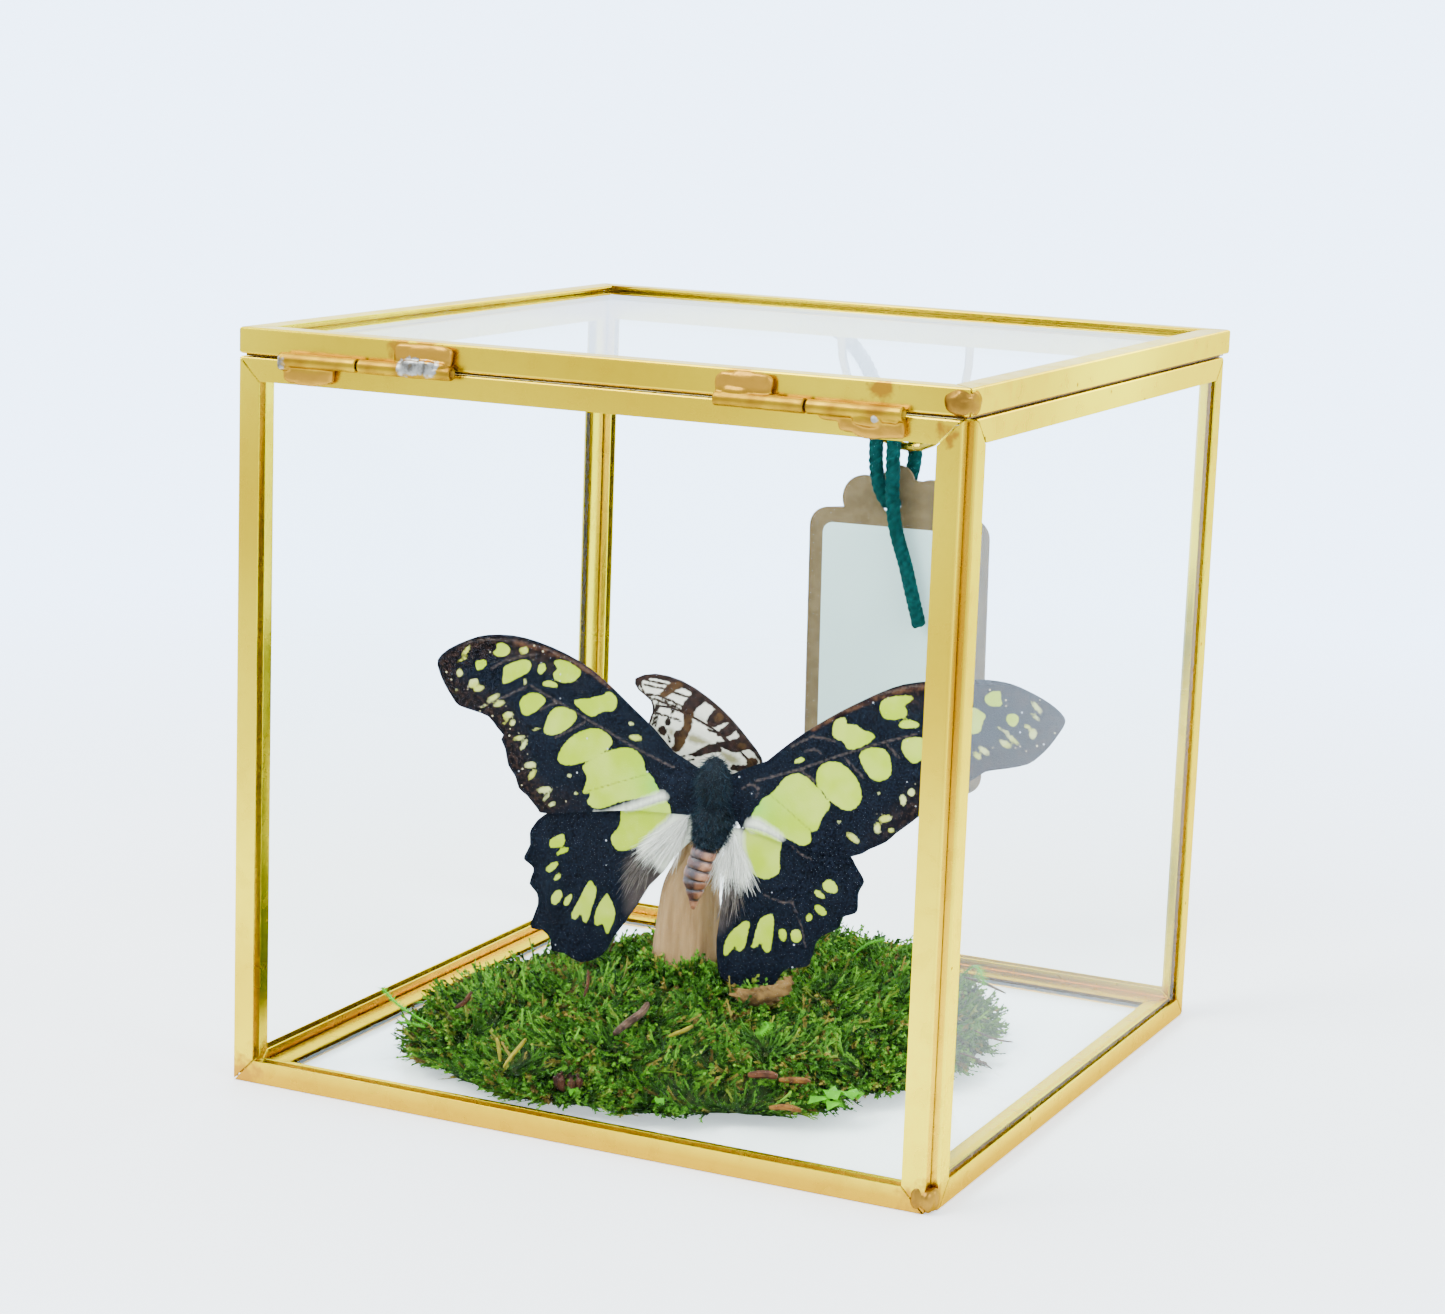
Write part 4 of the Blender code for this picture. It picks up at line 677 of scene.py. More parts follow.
class Finish(Nodes):
    """A material with its shader's own values, which reads Object coordinates."""

    def __init__(self, name, **values):
        self.material = bpy.data.materials.new(name)
        self.material.use_nodes = True
        super().__init__(self.material.node_tree)
        self.shader = self.tree.nodes["Principled BSDF"]
        self.feed(**values)
        self.place = self.add("ShaderNodeTexCoord")["Object"]

    def feed(self, **values):
        self.link(self.shader, {key.replace("_", " "): value for key, value in values.items()})

    def bump(self, height, strength, distance):
        self.feed(Normal=self.add("ShaderNodeBump", {
            "Height": height, "Strength": strength, "Distance": distance})[0])

    def mottle(self, scale, detail, edge, a, b, level=0.5):
        return self.group("mottle", {
            "Vector": self.place, "Scale": scale, "Detail": detail, "Edge": edge, "Level": level,
            "Colour A": rgba(a), "Colour B": rgba(b)})

    def specks(self, scale, size, share):
        given = {"Vector": self.place, "Scale": scale, "Size": size, "Share": share}
        return self.group("specks", given)["Mask"]

    def grain(self, scale, stretch):
        return self.group("grain", {"Vector": self.place, "Scale": scale, "Stretch": stretch})["Mask"]

    def wavering(self, scale, detail, reach):
        """Gives a function that reads a mark's depth as a mask, its edge uneven by the reach."""
        wobble = self.add("ShaderNodeTexNoise", {"Vector": self.place, "Scale": scale, "Detail": detail})
        shift = self.remap(wobble["Fac"], 0.25, 0.75, -reach, reach)
        return lambda name, soft: self.remap(self.maths("ADD", self.attribute(name), shift), -soft, soft)


# ---------------------------------------------------------------- materials

def brass_finish(name, main, pale, roughness, stains=()):
    """Polished brass channel with painted highlights in soft pale patches, a painted warm reflection low
    down, and dull specks.

    The stains are places of solder heat: x, y, z and reach in millimetres."""
    f = Finish(name, Metallic=1.0, Specular_Tint=(0.96, 0.80, 0.34, 1))
    # Soft pale patches of painted highlight
    patches = f.mottle(26.0, 1.0, 0.25, main, pale, 0.52)
    height = f.add("ShaderNodeSeparateXYZ", {0: f.place})[2]
    # More orange towards the bottom: a painted warm reflection from below
    painted_warm_reflection = f.mix(f.remap(height, 0.004, 0.0015), patches["Colour"], (main[0] * 0.86, main[1] * 0.72, 0.0))
    fine = f.mottle(300.0, 2.0, 0.25, (1, 1, 1), (0.90, 0.86, 0.80), 0.66)
    toned = f.mix(1.0, painted_warm_reflection, fine["Colour"], "MULTIPLY")
    colour = f.mix(f.specks(300.0, 0.08, 0.14), toned, (0.20, 0.11, 0.01))
    for *centre, reach in stains:
        spot = f.group("spot", {"Vector": f.place, "Centre": mm(centre), "Reach": reach * MM})
        colour = f.mix(spot["Mask"], colour, (0.40, 0.20, 0.012))
    f.feed(Base_Color=colour, Roughness=f.remap(fine["Mask"], 0, 1, roughness, roughness + 0.10))
    f.bump(fine["Mask"], 0.10, 0.02 * MM)
    return f.material


def solder_finish(name, main, stain, roughness):
    """Copper-stained brass, with bare silvery solder and painted shade in its hollows where its attributes
    say.
    """
    f = Finish(name, Metallic=1.0, Specular_Tint=(0.90, 0.70, 0.34, 1))
    patches = f.mottle(230.0, 3.0, 0.22, main, stain)
    silver = f.mottle(900.0, 3.0, 0.15, (0.36, 0.37, 0.36), (0.09, 0.085, 0.075), 0.52)
    ragged = f.remap(silver["Mask"], 0, 1, 0.25, -0.35)
    bare = f.remap(f.maths("ADD", f.attribute("silver"), ragged), 0.3, 0.7)
    # The bores of the hinge tubes get a near-black painted shade
    colour = f.layers(patches["Colour"], [
        (f.attribute("pad"), (0.38, 0.20, 0.020)), (bare, silver["Colour"]),
        (f.attribute("painted_bore_shade"), (0.035, 0.010, 0.008))])
    f.feed(Base_Color=colour, Roughness=f.remap(patches["Mask"], 0, 1, roughness, roughness + 0.15))
    f.bump(silver["Mask"], 0.2, 0.05 * MM)
    return f.material


def glass_finish(colour):
    """Clear glass that lets the lamps' light through to what is behind it, with faint dust."""
    f = Finish("clear_pane", Base_Color=rgba(colour), Roughness=0.0, IOR=1.09, Transmission_Weight=1.0,
               Specular_Tint=(0.04, 0.045, 0.05, 1))
    smear = f.group("mottle", {"Vector": f.place, "Scale": 60.0, "Detail": 4.0, "Edge": 0.1, "Level": 0.63})
    f.feed(Roughness=f.remap(smear["Mask"], 0, 1, 0.0, 0.03))
    clear = f.add("ShaderNodeBsdfTransparent", {"Color": (0.93, 0.96, 0.94, 1)})
    rays = f.add("ShaderNodeLightPath")
    mix = f.add("ShaderNodeMixShader", {0: rays["Is Shadow Ray"], 1: f.shader.outputs[0], 2: clear[0]})
    f.tree.links.new(mix[0], f.tree.nodes["Material Output"].inputs["Surface"])
    return f.material


def dark_wing_finish(props):
    """Blue-black wing with green and pale spots, copper leading edge, dry veins and a speckled margin."""
    f = Finish("spotted_wing", Roughness=0.62, Specular_IOR_Level=0.03)
    mask = f.wavering(2600.0, 2.0, 0.09)
    margin = f.attribute("margin")
    ground = f.mottle(3800.0, 2.0, 0.14, props.dark, (0.006, 0.009, 0.016))
    brown = f.mottle(1500.0, 4.0, 0.05, (0.006, 0.005, 0.006), (0.021, 0.012, 0.010), 0.52)
    copper = f.mottle(900.0, 3.0, 0.12, (0.085, 0.038, 0.020), (0.018, 0.008, 0.008))
    green = f.mottle(210.0, 2.0, 0.2, props.green, (props.green[0] * 1.25, props.green[1] * 1.12, 0.06))
    olive = f.layers(green["Colour"], [
        (mask("band_line", 0.12), (0.16, 0.20, 0.01)), (f.attribute("bloom"), (0.20, 0.50, 0.05))])
    pale = f.mottle(300.0, 2.0, 0.1, (0.50, 0.54, 0.20), (0.42, 0.46, 0.06))
    ragged = f.remap(f.grain(2600.0, 0.12), 0.3, 0.7, -0.12, 0.12)
    white = f.remap(f.maths("ADD", f.attribute("white"), ragged), -0.5, 0.5)
    f.feed(Base_Color=f.layers(ground["Colour"], [
        (margin, brown["Colour"]), (mask("copper", 0.25), copper["Colour"]),
        (f.maths("MULTIPLY", mask("vein", 0.12), 0.75), (0.075, 0.056, 0.050)),
        (mask("inner", 1.2), (0.055, 0.044, 0.042)), (mask("green", 0.07), olive),
        (mask("pale", 0.10), pale["Colour"]), (white, (0.70, 0.73, 0.62)),
        (f.maths("MULTIPLY", f.specks(1400.0, 0.19, 0.24), margin), (0.50, 0.45, 0.27)),
        (f.specks(640.0, 0.08, 0.20), (0.40, 0.43, 0.48))]))
    f.bump(ground["Mask"], 0.3, 0.03 * MM)
    return f.material


def pale_wing_finish():
    """White wing with brown and ochre bands and thin dark veins."""
    f = Finish("banded_wing", Roughness=0.66, Specular_IOR_Level=0.1)
    mask = f.wavering(1900.0, 3.0, 0.13)
    ground = f.mottle(500.0, 3.0, 0.2, (0.80, 0.78, 0.68), (0.68, 0.67, 0.58))
    ochre = f.mottle(900.0, 3.0, 0.15, (0.058, 0.029, 0.011), (0.026, 0.012, 0.007))
    dark = f.mottle(1300.0, 3.0, 0.15, (0.010, 0.005, 0.004), (0.024, 0.011, 0.008))
    f.feed(Base_Color=f.layers(ground["Colour"], [
        (mask("shade", 0.35), (0.26, 0.24, 0.13)), (mask("vein", 0.08), (0.022, 0.013, 0.009)),
        (mask("dark", 0.10), dark["Colour"]), (mask("rim", 0.12), dark["Colour"]),
        (mask("ochre", 0.12), ochre["Colour"])]))
    f.bump(ground["Mask"], 0.3, 0.03 * MM)
    return f.material


def moss_finish(name, dark, middle, bright, dry):
    """Dried moss: green by sprig, some of it yellow or brown, with painted shade darkening each sprig's root.
    """
    f = Finish(name, Roughness=0.72, Specular_IOR_Level=0.10)
    tint = f.ramp(f.attribute("tint"), ((0.0, dark), (0.38, middle), (0.80, bright), (0.93, dry), (1.0, dry)))
    patches = f.mottle(150.0, 3.0, 0.18, (1, 1, 1), (0.62, 0.70, 0.55))
    lit = f.mix(1.0, tint, patches["Colour"], "MULTIPLY")
    # Painted shade: darker towards each sprig's root, by its rise
    f.feed(Base_Color=f.mix(f.remap(f.attribute("rise"), 0.1, 0.9), [c * 0.4 for c in dark], lit))
    return f.material


def fibre_finish(name, root, tip, roughness=0.6):
    """Hair whose colour changes with its own tint."""
    f = Finish(name, Roughness=roughness, Specular_IOR_Level=0.04)
    f.feed(Base_Color=f.mix(f.attribute("tint"), root, tip))
    return f.material


def mottled_finish(name, a, b, scale, roughness, depth, metallic=0.0):
    """A plain mottled matter, with relief to match its patches."""
    f = Finish(name, Roughness=roughness, Metallic=metallic, Specular_IOR_Level=0.12)
    patches = f.mottle(scale, 5.0, 0.16, a, b)
    f.feed(Base_Color=patches["Colour"])
    f.bump(patches["Mask"], 0.5, depth)
    return f.material


def wood_finish():
    """Weathered pale wood with grain up the post, darker in its cracks."""
    f = Finish("weathered_wood", Roughness=0.78, Specular_IOR_Level=0.12)
    fibres, broad = f.grain(1100.0, 0.07), f.grain(260.0, 0.16)
    base = f.mix(f.remap(fibres, 0.3, 0.7), (0.22, 0.128, 0.056), (0.32, 0.195, 0.090))
    f.feed(Base_Color=f.layers(base, [
        (f.remap(broad, 0.52, 0.70, 0, 0.6), (0.27, 0.175, 0.09)),
        (f.remap(broad, 0.40, 0.30, 0, 0.5), (0.13, 0.07, 0.03))]))
    f.bump(fibres, 0.7, 0.18 * MM)
    return f.material


def abdomen_finish():
    """Dark ringed abdomen with orange sides and tip."""
    f = Finish("ringed_abdomen", Roughness=0.38, Specular_IOR_Level=0.45)
    dark = f.mottle(900.0, 3.0, 0.15, (0.016, 0.007, 0.006), (0.075, 0.026, 0.016))
    orange = f.mottle(900.0, 3.0, 0.15, (0.33, 0.15, 0.080), (0.16, 0.058, 0.028))
    f.feed(Base_Color=f.layers(dark["Colour"], [
        (f.attribute("side"), orange["Colour"]), (f.attribute("ring"), (0.012, 0.006, 0.006))]))
    f.bump(dark["Mask"], 0.4, 0.05 * MM)
    return f.material


def card_finish():
    """Brown kraft card with pale and dark fibres."""
    f = Finish("kraft_card", Roughness=0.85, Specular_IOR_Level=0.1)
    base = f.mottle(700.0, 6.0, 0.2, (0.175, 0.125, 0.070), (0.135, 0.095, 0.052))
    f.feed(Base_Color=f.mix(f.specks(900.0, 0.14, 0.25), base["Colour"], (0.24, 0.18, 0.11)))
    f.bump(base["Mask"], 0.25, 0.03 * MM)
    return f.material


def paper_finish():
    """Smooth pale paper."""
    f = Finish("label_paper", Roughness=0.55)
    f.feed(Base_Color=f.mottle(90.0, 4.0, 0.3, (0.60, 0.78, 0.79), (0.56, 0.74, 0.76))["Colour"])
    return f.material


def twine_finish(colour):
    """Twisted cotton in two tones of its colour."""
    f = Finish("cotton_twine", Roughness=0.85, Specular_IOR_Level=0.05)
    base = f.mottle(1500.0, 4.0, 0.2, colour, [c * 0.5 for c in colour])
    f.feed(Base_Color=base["Colour"])
    f.bump(base["Mask"], 0.5, 0.06 * MM)
    return f.material


def floor_finish():
    """Matt pale board with a very soft unevenness, which fades out far from the case."""
    f = Finish("pale_board", Roughness=0.6, Emission_Color=(0.85, 0.93, 1.0, 1), Emission_Strength=0.8)
    base = f.mottle(9.0, 3.0, 0.4, (0.94, 0.955, 0.965), (0.92, 0.94, 0.95))
    away = f.add("ShaderNodeVectorMath", {0: f.place}, operation="LENGTH")["Value"]
    f.feed(Base_Color=base["Colour"], Alpha=f.remap(away, 0.11, 0.38, 1.0, 0.0))
    return f.material


# ---------------------------------------------------------------- meshes

def mm(point):
    return Vector(point) * MM


@contextmanager
def editing(mesh):
    bm = bmesh.new()
    bm.from_mesh(mesh)
    yield bm
    bm.to_mesh(mesh)
    bm.free()


def plain_mesh(name, points, faces):
    mesh = bpy.data.meshes.new(name)
    mesh.from_pydata([tuple(p) for p in points], [], faces)
    return mesh


def mesh_from(name, points, faces):
    """A mesh whose faces look outward."""
    mesh = plain_mesh(name, points, faces)
    mesh.validate()
    with editing(mesh) as bm:
        bmesh.ops.recalc_face_normals(bm, faces=bm.faces)
    return mesh


def set_material(mesh, material):
    mesh.materials.clear()
    mesh.materials.append(material)


def link_object(name, mesh, material=None, smooth_angle=None):
    """A new object at the origin, with its place in its mesh."""
    item = bpy.data.objects.new(name, mesh)
    bpy.context.scene.collection.objects.link(item)
    if material:
        set_material(mesh, material)
    if smooth_angle:
        mesh.shade_smooth()
        mesh.set_sharp_from_angle(angle=math.radians(smooth_angle))
    return item


def hand_over(piece, body, node=None):
    """Hangs a piece on the body it rides on, and hides any CAD node it stands in for."""
    if node:
        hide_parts(node)
    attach(piece, body)


def finish_mesh(item):
    """Turns what an object's modifiers make into its plain mesh."""
    graph = bpy.context.evaluated_depsgraph_get()
    mesh = bpy.data.meshes.new_from_object(item.evaluated_get(graph))
    item.modifiers.clear()
    old = item.data
    item.data = mesh
    bpy.data.meshes.remove(old)


def store(mesh, name, values):
    """Keeps a number or a vector for each of a mesh's points."""
    values = np.asarray(values, np.float32)
    kind, field = ("FLOAT", "value") if values.ndim == 1 else ("FLOAT_VECTOR", "vector")
    mesh.attributes.new(name, kind, "POINT").data.foreach_set(field, values.ravel())


def turns(count):
    """Evenly spread angles round a circle."""
    return [2 * math.pi * k / count for k in range(count)]


def smooth_line(points, steps):
    """Points of a smooth curve through the given ones, which may carry a radius as a fourth value."""
    vectors = [Vector(point) for point in points]
    count = len(vectors)
    result = []
    for i in range(count - 1):
        a, b, c, d = (vectors[min(max(i + k - 1, 0), count - 1)] for k in range(4))
        for j in range(steps):
            t = j / steps
            result.append(0.5 * (2 * b + (c - a) * t + (2 * a - 5 * b + 4 * c - d) * t ** 2
                                 + (3 * b - a - 3 * c + d) * t ** 3))
    return result + [vectors[-1]]


def frames_along(points):
    """A right and an up direction at each point, turned as little as possible."""
    last = len(points) - 1
    tangents = [(points[min(i + 1, last)] - points[max(i - 1, 0)]).normalized() for i in range(len(points))]
    side = tangents[0].orthogonal().normalized()
    result = []
    for tangent in tangents:
        side = (side - tangent * side.dot(tangent)).normalized()
        result.append((side, tangent.cross(side)))
    return result


def band_faces(rows, sides, first=0):
    """Faces between rings of points, for a number of rows of faces."""
    faces = []
    for start in range(first, first + rows * sides, sides):
        for k in range(sides):
            a, b = start + k, start + (k + 1) % sides
            faces.append((a, b, b + sides, a + sides))
    return faces


def tube_parts(points, radii, sides, first=0):
    """Rings of a closed tube through the points, as points and faces."""
    rings = []
    for point, radius, (right, up) in zip(points, radii, frames_along(points)):
        rings += [point + (right * math.cos(angle) + up * math.sin(angle)) * radius for angle in turns(sides)]
    last = first + (len(points) - 1) * sides
    caps = [tuple(first + k for k in reversed(range(sides))), tuple(last + k for k in range(sides))]
    return rings, band_faces(len(points) - 1, sides, first) + caps


def tubes_mesh(name, tubes, points=(), faces=()):
    """One mesh of several tubes, each its points, radii and sides, and of any other points and faces."""
    points, faces = list(points), list(faces)
    for line, radii, sides in tubes:
        ring_points, ring_faces = tube_parts(line, radii, sides, len(points))
        points += ring_points
        faces += ring_faces
    return mesh_from(name, points, faces)


# ---------------------------------------------------------------- growing on a surface

def growth_tree():
    """Geometry Nodes that grow small pieces on a surface, laid along its "lie" directions."""
    g = Group("grow_on_surface", "GeometryNodeTree", {
        "Surface": ("Geometry", None), "Pieces": ("Collection", None), "Density": ("Float", 1000.0),
        "Seed": ("Int", 0), "Smallest": ("Float", 0.7), "Largest": ("Float", 1.3), "Spread": ("Float", 0.4),
        "Material": ("Material", None)}, {"Geometry": "Geometry"})
    spread, seed = g.given["Spread"], g.given["Seed"]
    cover = g.add("GeometryNodeInputNamedAttribute", {"Name": "cover"}, data_type="FLOAT")
    scatter = g.add("GeometryNodeDistributePointsOnFaces", {
        "Mesh": g.given["Surface"], "Density": g.maths("MULTIPLY", cover[0], g.given["Density"]),
        "Seed": seed})
    lie = g.add("GeometryNodeInputNamedAttribute", {"Name": "lie"}, data_type="FLOAT_VECTOR")
    align = g.add("FunctionNodeAlignRotationToVector", {"Vector": lie[0]}, axis="Z")
    low = g.maths("MULTIPLY", spread, -1.0)
    lowest = g.add("ShaderNodeCombineXYZ", {0: low, 1: low, 2: -math.pi})
    highest = g.add("ShaderNodeCombineXYZ", {0: spread, 1: spread, 2: math.pi})
    turn = g.add("FunctionNodeRandomValue", {0: lowest[0], 1: highest[0], "Seed": seed},
                 data_type="FLOAT_VECTOR")
    turned = g.add("FunctionNodeEulerToRotation", {0: turn[0]})
    rotate = g.add("FunctionNodeRotateRotation", {"Rotation": align[0], "Rotate By": turned[0]},
                   rotation_space="LOCAL")
    size = g.add("FunctionNodeRandomValue", {2: g.given["Smallest"], 3: g.given["Largest"], "Seed": seed},
                 data_type="FLOAT")
    kinds = g.add("GeometryNodeCollectionInfo", {
        "Collection": g.given["Pieces"], "Separate Children": True, "Reset Children": True})
    place = g.add("GeometryNodeInstanceOnPoints", {
        "Points": scatter["Points"], "Instance": kinds[0], "Pick Instance": True, "Rotation": rotate[0],
        "Scale": size[1]})
    shade = g.add("FunctionNodeRandomValue", {2: 0.0, 3: 1.0, "Seed": TINT_SEED}, data_type="FLOAT")
    keep = g.add("GeometryNodeStoreNamedAttribute", {"Geometry": place[0], "Name": "tint", "Value": shade[1]},
                 data_type="FLOAT", domain="INSTANCE")
    real = g.add("GeometryNodeRealizeInstances", {0: keep[0]})
    coat = g.add("GeometryNodeSetMaterial", {"Geometry": real[0], "Material": g.given["Material"]})
    return g.give(Geometry=coat[0])


def grow(name, surface, kinds, material, count, seed, sizes, spread):
    """Grows about count pieces on the surface mesh, which keeps "cover" and "lie", as one plain mesh."""
    tree = bpy.data.node_groups.get("grow_on_surface") or growth_tree()
    collection = bpy.data.collections.new(f"{name}_kinds")
    for number, kind in enumerate(kinds):
        collection.objects.link(bpy.data.objects.new(f"{name}_kind_{number}", kind))
    item = link_object(name, surface)
    cover = np.zeros(len(surface.vertices), np.float32)
    surface.attributes["cover"].data.foreach_get("value", cover)
    area = sum(face.area * float(np.mean([cover[v] for v in face.vertices])) for face in surface.polygons)
    modifier = item.modifiers.new("growth", "NODES")
    modifier.node_group = tree
    wanted = {"Pieces": collection, "Density": count / max(area, 1e-9), "Seed": seed, "Smallest": sizes[0],
              "Largest": sizes[1], "Spread": spread, "Material": material}
    for socket in tree.interface.items_tree:
        if socket.item_type == "SOCKET" and socket.name in wanted:
            modifier[socket.identifier] = wanted[socket.name]
    finish_mesh(item)
    for piece in list(collection.objects):
        bpy.data.objects.remove(piece)
    bpy.data.collections.remove(collection)
    return item


def hair_kind(name, length, width, bend, rings=4):
    """A single tapered hair along Z."""
    line = [Vector((bend * length * (i / rings) ** 2, 0, length * i / rings)) for i in range(rings + 1)]
    radii = [width / 2 * (1 - 0.85 * i / rings) for i in range(rings + 1)]
    return tubes_mesh(name, [(line, radii, 3)])


def sprig_kind(name, length, leaves, seed):
    """A sprig of moss along Z: a thin stem with small pointed leaves all round."""
    random = np.random.default_rng(seed)
    bend = Vector((random.uniform(-0.5, 0.5), random.uniform(-0.5, 0.5), 0)) * length
    line = [bend * (i / 4) ** 2 + Vector((0, 0, length * (i / 4))) for i in range(5)]
    points, faces = tube_parts(line, [0.24 * MM * (1 - 0.15 * i) for i in range(5)], 3)
    rise = [i / 4 for i in range(5) for _ in range(3)]
    for k in range(leaves):
        share = (k + 0.6) / leaves
        root = bend * share ** 2 + Vector((0, 0, length * share))
        angle = k * LEAF_TURN + random.uniform(-0.4, 0.4)
        out = Vector((math.cos(angle), math.sin(angle), random.uniform(0.9, 1.9))).normalized()
        across = out.cross(Vector((0, 0, 1))).normalized() * LEAF_HALF_WIDTH * MM
        reach = MM * random.uniform(0.55, 0.85) * (1.1 - 0.3 * share)
        middle = root + out * reach * 0.45
        tip = root + out * reach + Vector((0, 0, reach * random.uniform(-0.1, 0.3)))
        first = len(points)
        points += [root, middle + across, tip, middle - across]
        rise += [share * 0.7, share, share + 0.25, share]
        faces += [(first, first + 1, first + 2), (first, first + 2, first + 3)]
    mesh = plain_mesh(name, points, faces)
    # How far up the sprig each point lies, which the moss finish turns into painted shade at the root
    store(mesh, "rise", rise)
    return mesh


def grow_sprigs(name, surface, kinds, material, count, seed, sizes, spread):
    sprigs = grow(name, surface, kinds, material, count, seed, sizes, spread)
    hand_over(sprigs, "case")
    return sprigs


# ---------------------------------------------------------------- wings

def plane_axes(origin, turn):
    """A point of the plane, along the wing and out of it, for a plane stood up and turned about Z."""
    along = np.array([math.cos(turn), math.sin(turn), 0.0])
    out = np.array([math.sin(turn), -math.cos(turn), 0.0])
    return np.array([origin[0], origin[1], 0.0]), along, out


def node_outline(node, origin, turn):
    """The outline of a flat CAD node in its own plane, in millimetres, and its height over the plane."""
    base, along, out = plane_axes(origin, turn)
    mesh = frame["nodes"][node].data
    world = np.array([v.co for v in mesh.vertices], float) - base
    flat = np.column_stack((world @ along, world[:, 2])) / MM
    height = world @ out
    front = height > (height.max() + height.min()) / 2
    keys = [tuple(np.round(p, 3)) for p in flat]
    count = {}
    for face in mesh.polygons:
        if all(front[v] for v in face.vertices):
            ring = [keys[v] for v in face.vertices]
            for pair in zip(ring, ring[1:] + ring[:1]):
                count[frozenset(pair)] = count.get(frozenset(pair), 0) + 1
    follow = {}
    for edge, number in count.items():
        if number == 1 and len(edge) == 2:
            a, b = edge
            follow.setdefault(a, []).append(b)
            follow.setdefault(b, []).append(a)
    start = min(follow)
    loop, before, here = [start], None, start
    while True:
        after = next(p for p in follow[here] if p != before)
        if after == start:
            return np.array(loop), float(height.mean())
        loop.append(after)
        before, here = here, after


def distance_to_line(points, line, closed):
    """Distance of each point to a line of points."""
    line = np.asarray(line, float)
    ends = np.roll(line, -1, axis=0) if closed else line[1:]
    starts = line if closed else line[:-1]
    best = np.full(len(points), 1e9)
    for a, b in zip(starts, ends):
        d = b - a
        t = np.clip(((points - a) @ d) / max(d @ d, 1e-12), 0, 1)
        best = np.minimum(best, np.hypot(*(points - a - t[:, None] * d).T))
    return best


def inside(points, outline):
    """Which points lie inside a closed outline."""
    x, y = points.T
    result = np.zeros(len(points), bool)
    outline = np.asarray(outline, float)
    for (x0, y0), (x1, y1) in zip(outline, np.roll(outline, -1, axis=0)):
        crosses = (y0 > y) != (y1 > y)
        with np.errstate(divide="ignore", invalid="ignore"):
            at = (x1 - x0) * (y - y0) / (y1 - y0) + x0
        result ^= crosses & (x < at)
    return result


def rounded(outline):
    """The outline with its corners cut once, so that a patch has soft corners."""
    line = np.asarray(outline, float)
    after = np.roll(line, -1, axis=0)
    return np.stack((line * 0.75 + after * 0.25, line * 0.25 + after * 0.75), axis=1).reshape(-1, 2)


def deepest(points, marks, depth_in):
    """How far each point lies inside the nearest mark, in millimetres; negative outside."""
    depth = np.full(len(points), FAR_OUTSIDE)
    for mark in marks:
        depth = np.maximum(depth, depth_in(points, mark))
    return depth


def patch_depth(points, patches):
    def depth_in(points, outline):
        line = rounded(outline)
        away = distance_to_line(points, line, True)
        return np.where(inside(points, line), away, -away)

    return deepest(points, patches, depth_in)


def blob_depth(points, blobs):
    def depth_in(points, blob):
        x, z, length, width, tilt = blob
        cos, sin = math.cos(math.radians(tilt)), math.sin(math.radians(tilt))
        local = points - (x, z)
        u = local[:, 0] * cos + local[:, 1] * sin
        v = -local[:, 0] * sin + local[:, 1] * cos
        return (1 - np.hypot(u / length, v / width)) * min(length, width)

    return deepest(points, blobs, depth_in)


def vein_depth(points, lines, half_width):
    return deepest(points, lines, lambda points, line: half_width - distance_to_line(points, line, False))


def fill_outline(outline, grid=()):
    """A flat mesh inside a closed outline, as points and faces, with any grid points in it."""
    flat = [Vector(p) for p in [*outline, *grid]]
    edges = [(k, (k + 1) % len(outline)) for k in range(len(outline))]
    points, _, faces, *_ = delaunay_2d_cdt(flat, edges, [], 1, 1e-6)
    return np.array([tuple(p) for p in points]), [tuple(f) for f in faces]


def wing_surface(node, origin, turn, spacing):
    """A flat mesh of a wing with evenly spread points, and their places in the wing's plane."""
    outline, height = node_outline(node, origin, turn)
    rooted = (np.abs(outline[:, 0]) < 6) & (outline[:, 1] > 29.5) & (spacing > 0.3)
    reach = 6 - (6 - np.abs(outline[:, 0])) * 2.3
    outline[:, 0] = np.where(rooted, np.sign(outline[:, 0]) * reach, outline[:, 0])
    dense = []
    for a, b in zip(outline, np.roll(outline, -1, axis=0)):
        steps = max(1, int(np.hypot(*(b - a)) / spacing))
        dense += [a + (b - a) * k / steps for k in range(steps)]
    dense = np.array(dense)
    low, high = dense.min(0), dense.max(0)
    row_height = spacing * math.sqrt(3) / 2
    rows = []
    for j in range(int((high[1] - low[1]) / row_height) + 1):
        xs = np.arange(low[0] + (j % 2) * spacing / 2, high[0], spacing)
        rows.append(np.column_stack((xs, np.full(len(xs), low[1] + j * row_height))))
    grid = np.concatenate(rows)
    grid = grid[inside(grid, dense)]
    grid = grid[distance_to_line(grid, dense, True) > spacing * 0.45]
    return *fill_outline(dense, grid), height


def on_plane(flat, axes, rise):
    """World places of points given in a wing's plane, at a rise over it in metres."""
    base, along, out = axes
    return base + flat[:, :1] * MM * along + UP * flat[:, 1:] * MM + out * rise


def wing_marks(green, veins, vein_width, white, inset=0.0, pale=(), band=(), copper=(), inner=(),
               bloom=None):
    """A spotted wing's attributes at its points: depths in millimetres, and the bloom's strength."""
    return {
        "green": lambda p: patch_depth(p, green), "pale": lambda p: blob_depth(p, pale),
        "vein": lambda p: vein_depth(p, veins, vein_width), "band_line": lambda p: vein_depth(p, band, 0.09),
        "copper": lambda p: vein_depth(p, copper, 0.30), "inner": lambda p: patch_depth(p, inner),
        "white": lambda p: patch_depth(p, white) - inset,
        "bloom": lambda p: np.exp(-np.hypot(*(p - bloom).T) / BLOOM_REACH) if bloom else np.zeros(len(p)),
    }


